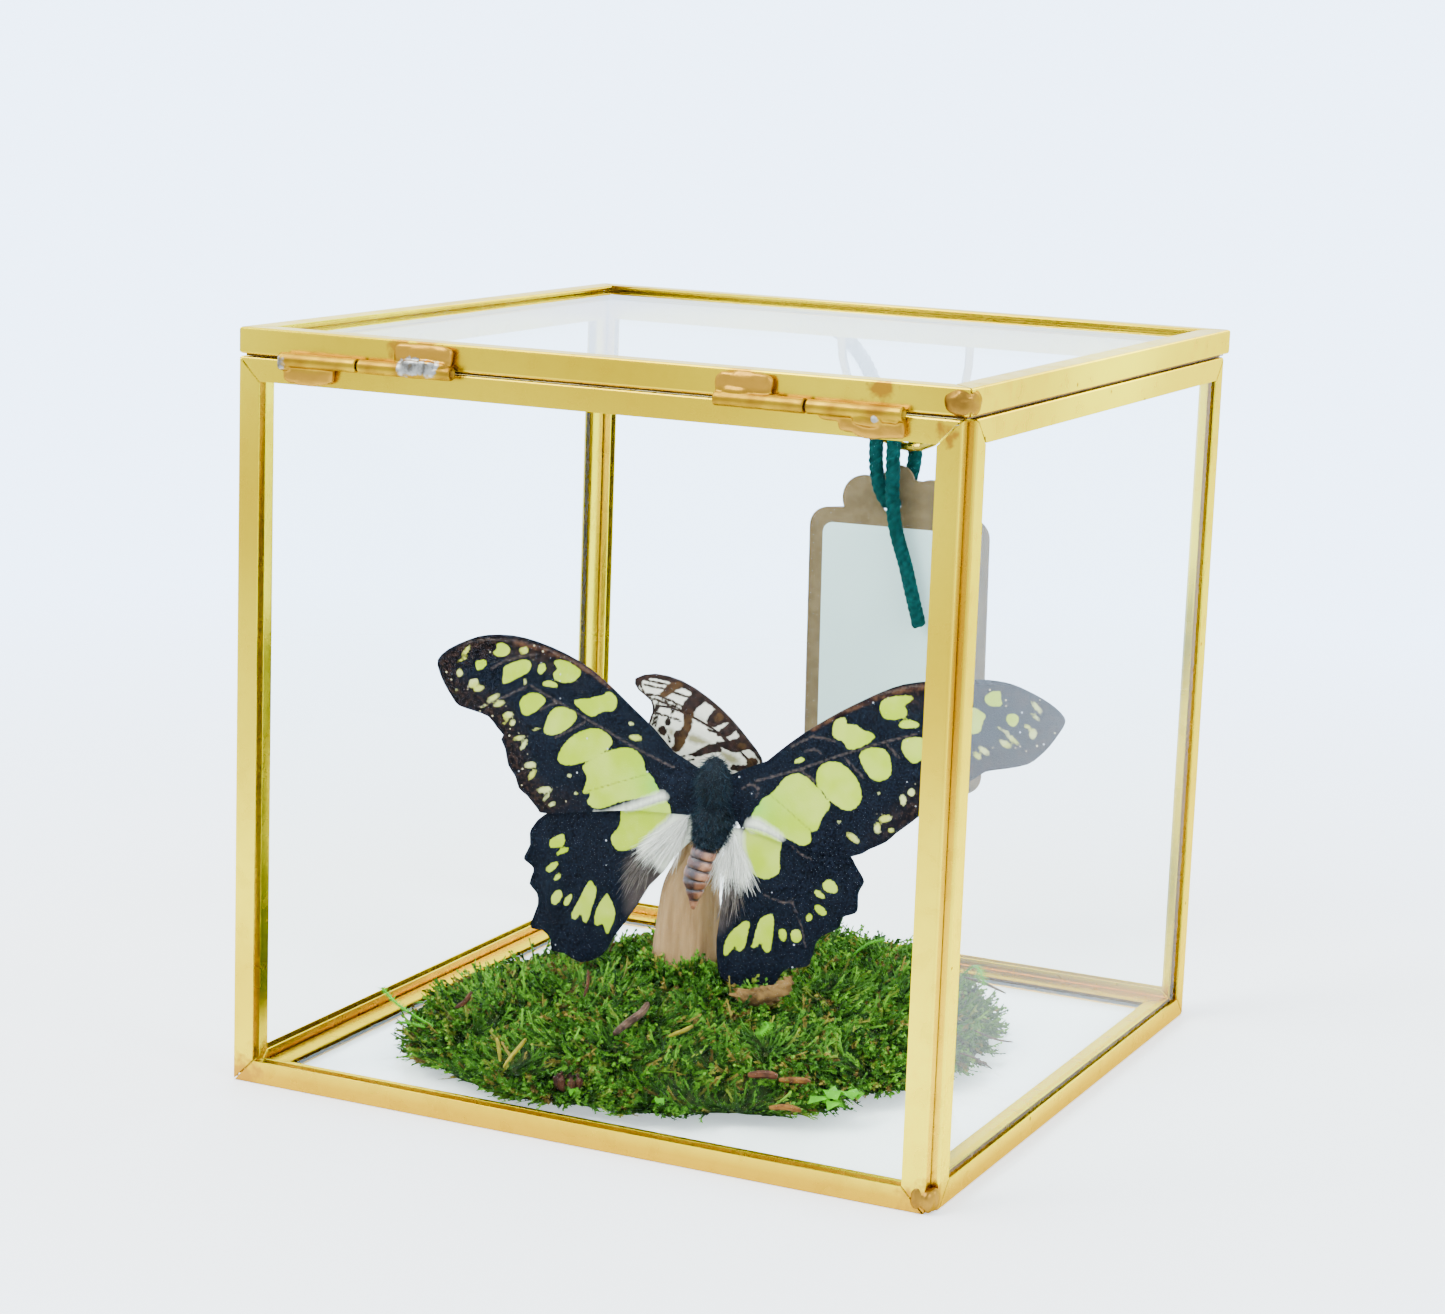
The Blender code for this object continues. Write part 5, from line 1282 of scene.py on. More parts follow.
def make_wing(node, origin, turn, marks, material, spacing, thickness, waves, margin_from=None):
    """A thin wing in place of its CAD plate, its marks kept as attributes of its points."""
    flat, faces, height = wing_surface(node, origin, turn, spacing / MM)
    axes = plane_axes(origin, turn)
    x, z = flat.T
    lift = waves * (np.sin(x / 5.3 + 0.6) * np.sin(z / 6.1) + 0.4 * np.sin(x / 2.1))
    lift = lift + VEIN_RISE * np.exp(-(np.clip(-marks["vein"](flat), 0, 9) / 0.3) ** 2)
    name = node.replace("butterfly_", "")
    mesh = plain_mesh(name, on_plane(flat, axes, height + lift[:, None] * MM), faces)
    for key, depth in marks.items():
        store(mesh, key, depth(flat))
    outline = node_outline(node, origin, turn)[0]
    if margin_from:
        edge = distance_to_line(flat, rounded(outline), True)
        reach = np.clip(np.abs(x) / margin_from - 1, 0, 0.35) / 0.35
        store(mesh, "margin", np.clip(1.45 - edge / 3.0, 0, 1) * np.clip(edge / 0.6, 0.3, 1) * reach)
    else:
        store(mesh, "rim", SMALL_RIM - distance_to_line(flat, outline, True))
    mesh.shade_smooth()
    wing = link_object(name, mesh, material)
    with editing(mesh) as bm:
        bmesh.ops.recalc_face_normals(bm, faces=bm.faces)
        if sum(face.normal.dot(Vector(axes[2])) for face in bm.faces) < 0:
            bmesh.ops.reverse_faces(bm, faces=bm.faces)
    solid = wing.modifiers.new("thickness", "SOLIDIFY")
    solid.thickness = thickness
    solid.offset = 0.0
    finish_mesh(wing)
    wing.data.shade_smooth()
    wing.data.set_sharp_from_angle(angle=math.radians(60))
    hand_over(wing, "case", node)


# ---------------------------------------------------------------- bodies

def body_mesh(name, line, sides, steps, ripple, seed):
    """A round body along a line of x, y, z and radius, its skin slightly uneven."""
    smooth = smooth_line(line, steps)
    points, faces = tube_parts([p.xyz * MM for p in smooth], [p.w * MM for p in smooth], sides)
    moved = []
    for point in points:
        push = noise.noise(point * 1500 + Vector((seed, 0, 0))) * ripple * MM
        moved.append(point + Vector((push, push * 0.6, -push * 0.4)))
    return mesh_from(name, moved, faces)


def abdomen_mesh(name, line):
    """A ringed abdomen along three places of x, y, z and radius, its dark rings and bright sides kept."""
    rows, sides, segments = 60, 24, 6
    start, middle, end = line
    places = []
    for i in range(rows + 1):
        share = i / rows
        a, b, t = (start, middle, 2 * share) if share < 0.5 else (middle, end, 2 * share - 1)
        x, y, z, radius = (p + (q - p) * t for p, q in zip(a, b))
        radius *= 0.86 + 0.14 * abs(math.sin(math.pi * share * segments)) ** 0.5
        places.append((x, y, z, radius * (1 if share < 0.5 else math.sqrt(max(1 - t * t * 0.7, 0.1)))))
    points, faces = tube_parts([mm(p[:3]) for p in places], [p[3] * MM for p in places], sides)
    mesh = plain_mesh(name, points, faces)
    ring, side = [], []
    for i, (x, _, _, radius) in enumerate(places):
        share = i / rows
        dark = abs(math.sin(math.pi * share * segments)) < 0.5
        for point in points[i * sides:(i + 1) * sides]:
            across = (point.x - x * MM) / max(radius * MM, 1e-6)
            ring.append((0.9 if dark else 0.0) * (share < 0.93))
            side.append(min(1, max(0, abs(across + 0.12) * 2.4 - 0.9) + (share > 0.84)))
    store(mesh, "ring", ring)
    store(mesh, "side", side)
    with editing(mesh) as bm:
        bmesh.ops.recalc_face_normals(bm, faces=bm.faces)
    return mesh


def legs_mesh(name, legs):
    tubes = []
    for leg in legs:
        line = smooth_line([mm(p) for p in leg], 6)
        tubes.append((line, [0.24 * MM * (1 - 0.55 * i / len(line)) for i in range(len(line))], 6))
    return tubes_mesh(name, tubes)


def fuzz(name, mesh, material, count, seed, width, tilt):
    """Short hairs all over a body's mesh, leaning along tilt."""
    normals = np.zeros(len(mesh.vertices) * 3, np.float32)
    mesh.vertices.foreach_get("normal", normals)
    store(mesh, "lie", normals.reshape(-1, 3) + np.array(tilt, np.float32))
    store(mesh, "cover", np.ones(len(mesh.vertices)))
    kinds = [hair_kind(f"{name}_{k}", 0.9 * MM * (0.8 + 0.2 * k), width, 0.12 * (k + 1)) for k in range(3)]
    hand_over(grow(name, mesh, kinds, material, count, seed, (0.6, 1.25), 0.6), "case")


# ---------------------------------------------------------------- moss

def moss_radius(angle):
    share = math.degrees(angle) % 360 / 30
    first = int(share)
    blend = (1 - math.cos(math.pi * (share - first))) / 2
    count = len(MOSS_RADII)
    radius = MOSS_RADII[first % count] * (1 - blend) + MOSS_RADII[(first + 1) % count] * blend
    return radius * (1 + 0.015 * math.sin(7 * angle + 1) + 0.012 * math.sin(13 * angle))


def moss_height(share, angle):
    rise = MOSS_RISE * max(0, math.cos(angle - MOSS_RISE_ANGLE)) ** 2 * share ** 2 * (1 - share ** 8)
    for (a, low), (b, high) in zip(MOSS_HEIGHTS, MOSS_HEIGHTS[1:]):
        if share <= b:
            break
    return rise + low + (high - low) * (share - a) / (b - a)


def moss_surface(rings, sides):
    """The mound's skin, a little below the tips of its fibres, with lie and cover for the growth."""
    noise.seed_set(LIE_SEED)
    points, lie, cover = [], [], []
    for i in range(rings + 1):
        share = i / rings
        for angle in turns(sides):
            radius = moss_radius(angle) * share * 0.975
            x = MOSS_CENTRE[0] + radius * math.cos(angle)
            y = MOSS_CENTRE[1] + radius * math.sin(angle)
            lump = noise.noise(Vector((x, y, 0)) / 5.0) * 0.9 + noise.noise(Vector((x, y, 3)) / 2.0) * 0.45
            depth = MOSS_FIBRE_DEPTH * (1 - 0.35 * share) - lump * (1 - 0.3 * share)
            z = MOSS_BOTTOM + max(0.25, moss_height(share, angle) - max(depth, 0.35))
            points.append(mm((x, y, z)))
            flow = noise.noise_vector(Vector((x, y, 0)) / 9.0)
            heading = math.atan2(flow.y, flow.x) * 2
            outward = Vector((math.cos(angle), math.sin(angle), 0)) * (0.3 + 0.8 * share ** 6)
            lie.append(Vector((math.cos(heading), math.sin(heading), 0.22 - 0.12 * share)) + outward * 0.35)
            cover.append(1.0 + 0.5 * share)
    mesh = plain_mesh("moss_skin", points, [(a, d, c, b) for a, b, c, d in band_faces(rings, sides)])
    with editing(mesh) as bm:
        bmesh.ops.remove_doubles(bm, verts=bm.verts, dist=0.00001)
    source = np.array([tuple(p) for p in points])
    order = [int(np.argmin(((source - np.array(v.co)) ** 2).sum(1))) for v in mesh.vertices]
    store(mesh, "lie", [tuple(lie[k]) for k in order])
    store(mesh, "cover", [cover[k] for k in order])
    return mesh


# ---------------------------------------------------------------- operators

class CASE_OT_camera(bpy.types.Operator):
    """Place the camera"""
    bl_idname = "butterfly_case.camera"
    bl_label = "Camera"

    def execute(self, context):
        a, e, roll = CAMERA_AZIMUTH, CAMERA_ELEVATION, CAMERA_ROLL
        back = Vector((math.sin(a) * math.cos(e), -math.cos(a) * math.cos(e), math.sin(e)))
        level = Vector((math.cos(a), math.sin(a), 0))
        upright = back.cross(level)
        right = level * math.cos(roll) + upright * math.sin(roll)
        up = upright * math.cos(roll) - level * math.sin(roll)
        centre = Vector(CAMERA_TARGET) + back * CAMERA_DISTANCE
        centre += right * CAMERA_SLIDE[0] + up * CAMERA_SLIDE[1]
        data = bpy.data.cameras.new("camera")
        data.sensor_width = CAMERA_SENSOR
        data.lens = CAMERA_LENS
        data.clip_start = 0.01
        camera = bpy.data.objects.new("camera", data)
        camera.matrix_world = Matrix.Translation(centre) @ Matrix((right, up, back)).transposed().to_4x4()
        context.scene.collection.objects.link(camera)
        context.scene.camera = camera
        return {"FINISHED"}


def arc(centre, radius, start, end, steps):
    angles = [math.radians(start + (end - start) * i / steps) for i in range(steps + 1)]
    return [(centre[0] + radius * math.cos(a), centre[1] + radius * math.sin(a)) for a in angles]


def make_plate(name, loops, thickness, front, material):
    """A flat piece in the XZ plane with its tag's tilt, its middle at y = front: an outline and any holes."""
    curve = bpy.data.curves.new(name, "CURVE")
    curve.dimensions = "2D"
    curve.fill_mode = "BOTH"
    curve.extrude = thickness / 2 - PLATE_BEVEL
    curve.bevel_depth = PLATE_BEVEL
    curve.bevel_resolution = 1
    for loop in loops:
        spline = curve.splines.new("POLY")
        spline.points.add(len(loop) - 1)
        for point, (x, z) in zip(spline.points, loop):
            point.co = (x, z, 0, 1)
        spline.use_cyclic_u = True
    source = link_object(name, curve)
    mesh = bpy.data.meshes.new_from_object(source.evaluated_get(bpy.context.evaluated_depsgraph_get()))
    bpy.data.objects.remove(source)
    stand = Matrix.Rotation(math.radians(90), 4, "X")
    pivot = Matrix.Translation((TAG_HOLE[0], 0, TAG_HOLE[1]))
    tilt = pivot @ Matrix.Rotation(-TAG_TILT, 4, "Y") @ pivot.inverted()
    with editing(mesh) as bm:
        bmesh.ops.remove_doubles(bm, verts=bm.verts, dist=0.000001)
        bmesh.ops.transform(bm, matrix=tilt @ stand, verts=bm.verts)
        bmesh.ops.recalc_face_normals(bm, faces=bm.faces)
    mesh.transform(Matrix.Translation((TAG_CENTRE_X, front, 0)))
    return link_object(name, mesh, material, 40)


class CASE_OT_tag(bpy.types.Operator):
    """Make the kraft tag, its paper face and its twine"""
    bl_idname = "butterfly_case.tag"
    bl_label = "Tag and twine"

    def execute(self, context):
        pieces = [self.card(), self.label()]
        props = context.scene.case_twine
        material = twine_finish(props.colour)
        self.twine("tag_twine_up", "twine_front", TWINE_UP, props.diameter, material, pieces)
        self.twine("tag_twine_down", "twine_back", TWINE_DOWN, props.diameter, material, [])
        return {"FINISHED"}

    @staticmethod
    def card():
        side, radius = TAG_HALF_WIDTH - TAG_CORNER, TAG_CORNER - PLATE_BEVEL
        right = [
            *arc((side, TAG_BOTTOM_Z + TAG_CORNER), radius, 270, 360, 10),
            *arc((side, TAG_SHOULDER_Z - TAG_CORNER), radius, 0, 90, 10),
            *arc((5.4 * MM, 70.3 * MM), 3.6 * MM - PLATE_BEVEL, -25, 115, 18),
            *arc((0, 73.2 * MM), 2.6 * MM - PLATE_BEVEL, 10, 90, 10),
        ]
        outline = right + [(-x, z) for x, z in reversed(right[:-1])]
        card = make_plate("tag_card", [outline, arc(TAG_HOLE, TAG_HOLE_RADIUS, 0, 345, 23)], TAG_THICKNESS,
                          TAG_FACE_Y + TAG_THICKNESS / 2, card_finish())
        hand_over(card, "lid", "tag")
        return card

    @staticmethod
    def label():
        corner = LABEL_CORNER
        side = TAG_HALF_WIDTH - LABEL_MARGIN - corner
        low, high = TAG_BOTTOM_Z + LABEL_MARGIN + corner, LABEL_TOP_Z - corner
        outline = [
            *arc((side, low), corner, 270, 360, 8), *arc((side, high), corner, 0, 90, 8),
            *arc((-side, high), corner, 90, 180, 8), *arc((-side, low), corner, 180, 270, 8),
        ]
        label = make_plate("tag_label", [outline], 0.12 * MM, TAG_FACE_Y - 0.03 * MM, paper_finish())
        hand_over(label, "lid")
        return label

    @staticmethod
    def twine(name, node, route, diameter, material, pieces):
        """Strands twisted round the route, closed at both ends."""
        line = smooth_line([mm(p) for p in route], 12)
        strand = diameter / 2 * 0.60
        offset = diameter / 2 - strand
        run = [0.0]
        for a, b in zip(line, line[1:]):
            run.append(run[-1] + (b - a).length)
        tubes = []
        for k in range(TWINE_STRANDS):
            wound = []
            for point, (right, up), length in zip(line, frames_along(line), run):
                angle = 2 * math.pi * (k / TWINE_STRANDS + length / TWINE_PITCH)
                wound.append(point + (right * math.cos(angle) + up * math.sin(angle)) * offset)
            tubes.append((wound, [strand] * len(wound), 8))
        twine = link_object(name, tubes_mesh(name, tubes), material, 60)
        hand_over(twine, "lid", node)


class CASE_OT_case(bpy.types.Operator):
    """Finish the glass, the brass channels, the hinges and the pull"""
    bl_idname = "butterfly_case.case"
    bl_label = "Case"

    def execute(self, context):
        props = context.scene.case_finish
        brass = brass_finish("brass_channel", props.brass, props.painted_highlight_brass, 0.24, CASE_STAINS)
        lid_brass = brass_finish("brass_lid_channel", [c * 0.94 for c in props.brass], props.painted_highlight_brass, 0.22,
                                 LID_STAINS)
        hinge = mottled_finish("hinge_pin", (0.30, 0.16, 0.03), (0.12, 0.06, 0.02), 600, 0.4, 0.05 * MM, 1.0)
        pull = brass_finish("brass_wire", (0.34, 0.21, 0.015), (0.48, 0.34, 0.04), 0.22)
        glass = glass_finish(props.glass)
        for name, node in frame["nodes"].items():
            if name.endswith("_glass"):
                set_material(node.data, glass)
            elif name.startswith("lid_rail"):
                self.channel(name, node, lid_brass, "lid", "brass_lid")
            elif "_rail_" in name:
                self.channel(name, node, brass, "case", "brass")
            elif name.startswith("hinge_"):
                set_material(node.data, hinge)
            elif name == "pull_loop":
                set_material(node.data, pull)
        return {"FINISHED"}

    @staticmethod
    def channel(name, node, material, body, slot):
        """A rail's channel with its rounded edges shaded smooth, in place of its CAD node."""
        mesh = node.data.copy()
        with editing(mesh) as bm:
            bmesh.ops.remove_doubles(bm, verts=bm.verts, dist=0.001 * MM)
        rail = link_object(f"{name}_channel", mesh, material, 35)
        rail.modifiers.new("even", "WEIGHTED_NORMAL").keep_sharp = True
        finish_mesh(rail)
        hand_over(rail, body, name)


class CASE_OT_solder(bpy.types.Operator):
    """Make the soldered hinges, the solder at the corners and the painted shade strip in the lid's seam"""
    bl_idname = "butterfly_case.solder"
    bl_label = "Solder"

    def execute(self, context):
        props = context.scene.case_finish
        copper = solder_finish("soldered_brass", (0.42, 0.27, 0.004), props.copper, 0.30)
        for name, (start, end, body) in HINGE_TUBES.items():
            piece = self.blob(name.replace("_tube", "_solder"), HINGE_BALLS[name], copper, body, name,
                              [mm((x, *HINGE_AXIS)) for x in (start, end)])
            self.hollow(piece, (start, end))
        burnt = solder_finish("burnt_solder", (0.31, 0.17, 0.02), (0.13, 0.06, 0.01), 0.30)
        self.blob("lid_corner_solder", LID_CORNER_BALLS, burnt, "lid")
        self.blob("foot_corner_solder", FOOT_CORNER_BALLS, burnt, "case")
        self.seam_shade()
        return {"FINISHED"}

    @staticmethod
    def blob(name, balls, material, body, node=None, ends=()):
        """Balls and any tube melted into one lump, which keeps its silvery places, pads and the painted shade
        of its hollows.
        """
        points, faces = [], []
        square = 0.62 if ends else 1.0
        for x, y, z, *half in balls:
            bm = bmesh.new()
            bmesh.ops.create_icosphere(bm, subdivisions=3, radius=1.0)
            first = len(points)
            for v in bm.verts:
                dent = 1 + 0.14 * noise.noise(v.co * 1.6 + Vector((x, z, 0)))
                side = [math.copysign(abs(c) ** square, c) * dent for c in v.co]
                points.append(mm((x + side[0] * half[0], y + side[1] * half[1], z + side[2] * half[2])))
            faces += [tuple(first + v.index for v in face.verts) for face in bm.faces]
            bm.free()
        tubes = []
        if ends:
            line = [ends[0].lerp(ends[1], k / 24) for k in range(25)]
            tubes = [(line, [(HINGE_RADIUS + 0.07 * noise.noise(p / MM * 0.5)) * MM for p in line], 20)]
        lump = link_object(name, tubes_mesh(name, tubes, points, faces), material)
        melt = lump.modifiers.new("melt", "REMESH")
        melt.mode = "VOXEL"
        melt.voxel_size = 0.13 * MM
        relax = lump.modifiers.new("relax", "SMOOTH")
        relax.factor = 0.5
        relax.iterations = 4
        finish_mesh(lump)
        mesh = lump.data
        set_material(mesh, material)
        mesh.shade_smooth()
        silver = []
        for v in mesh.vertices:
            near = [1.6 * (1 - math.hypot(v.co.x / MM - x, v.co.z / MM - z) / reach)
                    for x, z, reach in SILVER_SPOTS]
            silver.append(min(1.0, max(0.0, *near)) * (v.co.y < SILVER_FRONT_Y))
        pads = [bool(ends) * min(1.0, max(0.0, abs(v.co.z / MM - HINGE_AXIS[1]) - 0.7))
                for v in mesh.vertices]
        store(mesh, "silver", silver)
        store(mesh, "pad", pads)
        store(mesh, "painted_bore_shade", np.zeros(len(mesh.vertices)))
        hand_over(lump, body, node)
        return lump

    @staticmethod
    def hollow(lump, span):
        """Sinks the bore into both ends of a hinge tube and paints shade into it."""
        painted_bore_shade = lump.data.attributes["painted_bore_shade"].data
        for v in lump.data.vertices:
            away = math.hypot(v.co.y / MM - HINGE_AXIS[0], v.co.z / MM - HINGE_AXIS[1])
            for end, inward in zip(span, (1, -1)):
                if away < 0.55 and abs(v.co.x / MM - end) < 0.35:
                    v.co.x += 0.9 * MM * inward
                    painted_bore_shade[v.index].value = 1.0

    @staticmethod
    def seam_shade():
        """A dark narrow strip under the lid's rails, in the gap over the case: painted shade in the seam."""
        outer, inner, low, high = SEAM_SHADE
        points = []
        for half, z in ((outer, low), (outer, high), (inner, high), (inner, low)):
            points += [mm((x * half, y * half, z)) for x, y in ((-1, -1), (1, -1), (1, 1), (-1, 1))]
        faces = [tuple(corner % 16 for corner in face) for face in band_faces(4, 4)]
        # Dark metal strip standing in for the shade in the seam
        dark = mottled_finish("tarnished_brass", (0.12, 0.065, 0.008), (0.05, 0.025, 0.006), 400, 0.5,
                              0.05 * MM, 1.0)
        hand_over(link_object("lid_seat", mesh_from("lid_seat", points, faces), dark), "lid")


class CASE_OT_wings(bpy.types.Operator):
    """Make the wings of both butterflies"""
    bl_idname = "butterfly_case.wings"
    bl_label = "Wings"

    def execute(self, context):
        props = context.scene.case_wings
        settings = (dark_wing_finish(props), props.spacing, props.thickness, 0.10)
        fore, hind = (0, FOREWING_PLANE_Y), (0, HINDWING_PLANE_Y)
        marks = wing_marks(
            LEFT_FOREWING_GREEN, LEFT_FOREWING_VEINS, 0.13, [LEFT_FOLD], 0.25, LEFT_FOREWING_PALE,
            [LEFT_FOREWING_BAND_LINE], [LEFT_FOREWING_COPPER], bloom=(-9.3, 37.4))
        make_wing("butterfly_forewing_left", fore, LEFT_SLANT, marks, *settings, 20.0)
        marks = wing_marks(
            RIGHT_FOREWING_GREEN, RIGHT_FOREWING_VEINS, 0.13, [RIGHT_FOLD], 0.25, RIGHT_FOREWING_PALE,
            [RIGHT_FOREWING_BAND_LINE], [RIGHT_FOREWING_COPPER], bloom=(5.6, 36.2))
        make_wing("butterfly_forewing_right", fore, RIGHT_SLANT, marks, *settings, 20.0)
        marks = wing_marks(LEFT_HINDWING_GREEN, LEFT_HINDWING_VEINS, 0.11, LEFT_HINDWING_WHITE,
                           inner=[LEFT_HINDWING_BROWN])
        make_wing("butterfly_hindwing_left", hind, LEFT_SLANT, marks, *settings, 60.0)
        marks = wing_marks(RIGHT_HINDWING_GREEN, RIGHT_HINDWING_VEINS, 0.11, RIGHT_HINDWING_WHITE,
                           inner=[RIGHT_HINDWING_BROWN])
        make_wing("butterfly_hindwing_right", hind, RIGHT_SLANT, marks, *settings, 60.0)
        banded = pale_wing_finish()
        marks = {
            "dark": lambda p: patch_depth(p, SMALL_DARK) + 0.22,
            "ochre": lambda p: patch_depth(p, SMALL_OCHRE) + 0.20,
            "vein": lambda p: vein_depth(p, SMALL_LINES, 0.17),
            "shade": lambda p: patch_depth(p, SMALL_SHADE),
        }
        for part in ("hindwing_near", "forewing_near", "forewing_far", "hindwing_far"):
            make_wing(f"small_butterfly_{part}", SMALL_PLANE, SMALL_SLANT, marks, banded, props.spacing * 0.6,
                      props.thickness, 0.03)
        return {"FINISHED"}


class CASE_OT_bodies(bpy.types.Operator):
    """Make the bodies, legs and hair of both butterflies"""
    bl_idname = "butterfly_case.bodies"
    bl_label = "Bodies"

    def execute(self, context):
        fur = mottled_finish("dark_skin", (0.006, 0.009, 0.012), (0.002, 0.003, 0.005), 900, 0.7, 0.1 * MM)
        ringed = abdomen_finish()
        brown = mottled_finish("brown_skin", (0.22, 0.17, 0.12), (0.10, 0.07, 0.05), 900, 0.7, 0.1 * MM)
        self.body("butterfly_skin", "butterfly_body", BODY_LINE, ABDOMEN_LINE, LEGS, fur, ringed, "dark_body")
        self.body("small_skin", "small_butterfly_body", SMALL_BODY_LINE, SMALL_ABDOMEN_LINE, SMALL_LEGS,
                  brown, brown, "pale_body")
        black = fibre_finish("black_hair", (0.003, 0.006, 0.009), (0.016, 0.029, 0.041))
        coat = body_mesh("thorax_coat", BODY_LINE, 20, 4, 0.25, 3)
        fuzz("thorax_hair", coat, black, 3800, 3, 0.10 * MM, (0, 0, -0.8))
        dun = fibre_finish("dun_hair", (0.16, 0.11, 0.07), (0.42, 0.34, 0.25))
        coat = body_mesh("small_coat", SMALL_BODY_LINE, 14, 4, 0.15, 9)
        fuzz("small_hair", coat, dun, 1400, 4, 0.08 * MM, (-0.9, 0, 0.1))
        self.tufts()
        return {"FINISHED"}

    @staticmethod
    def body(name, node, torso, abdomen, legs, skin, tail, slot):
        body = link_object(name, body_mesh(name, torso, 28, 5, 0.3, 1), skin, 50)
        hand_over(body, "case", node)
        hand_over(link_object(f"{name}_legs", legs_mesh(f"{name}_legs", legs), skin, 50), "case")
        tail_mesh = abdomen_mesh(f"{name}_abdomen", abdomen)
        hand_over(link_object(f"{name}_abdomen", tail_mesh, tail, 60), "case")

    @staticmethod
    def tufts():
        """Silky white hair over the hindwings' inner edges, brown at its end."""
        finishes = {
            "white": fibre_finish("white_hair", (0.56, 0.56, 0.50), (1.0, 1.0, 0.96), 0.45),
            "brown": fibre_finish("brown_hair", (0.045, 0.036, 0.034), (0.20, 0.175, 0.16), 0.55),
        }
        for name, turn, colour, count, root, length, outline in TUFTS:
            axes = plane_axes((0, HINDWING_PLANE_Y), turn)
            _, along, out = axes
            flat, faces = fill_outline(outline)
            mesh = plain_mesh(name, on_plane(flat, axes, 0.25 * MM), faces)
            away = flat - root
            away /= np.hypot(*away.T)[:, None]
            store(mesh, "lie", away[:, :1] * along + away[:, 1:] * UP + out * 0.10)
            store(mesh, "cover", np.ones(len(flat)))
            kinds = [hair_kind(f"{name}_{k}", length * MM, 0.085 * MM, 0.08 * (k - 1), 5) for k in range(3)]
            hair = grow(name, mesh, kinds, finishes[colour], count, 11, (0.30, 1.5), 0.30)
            hand_over(hair, "case")


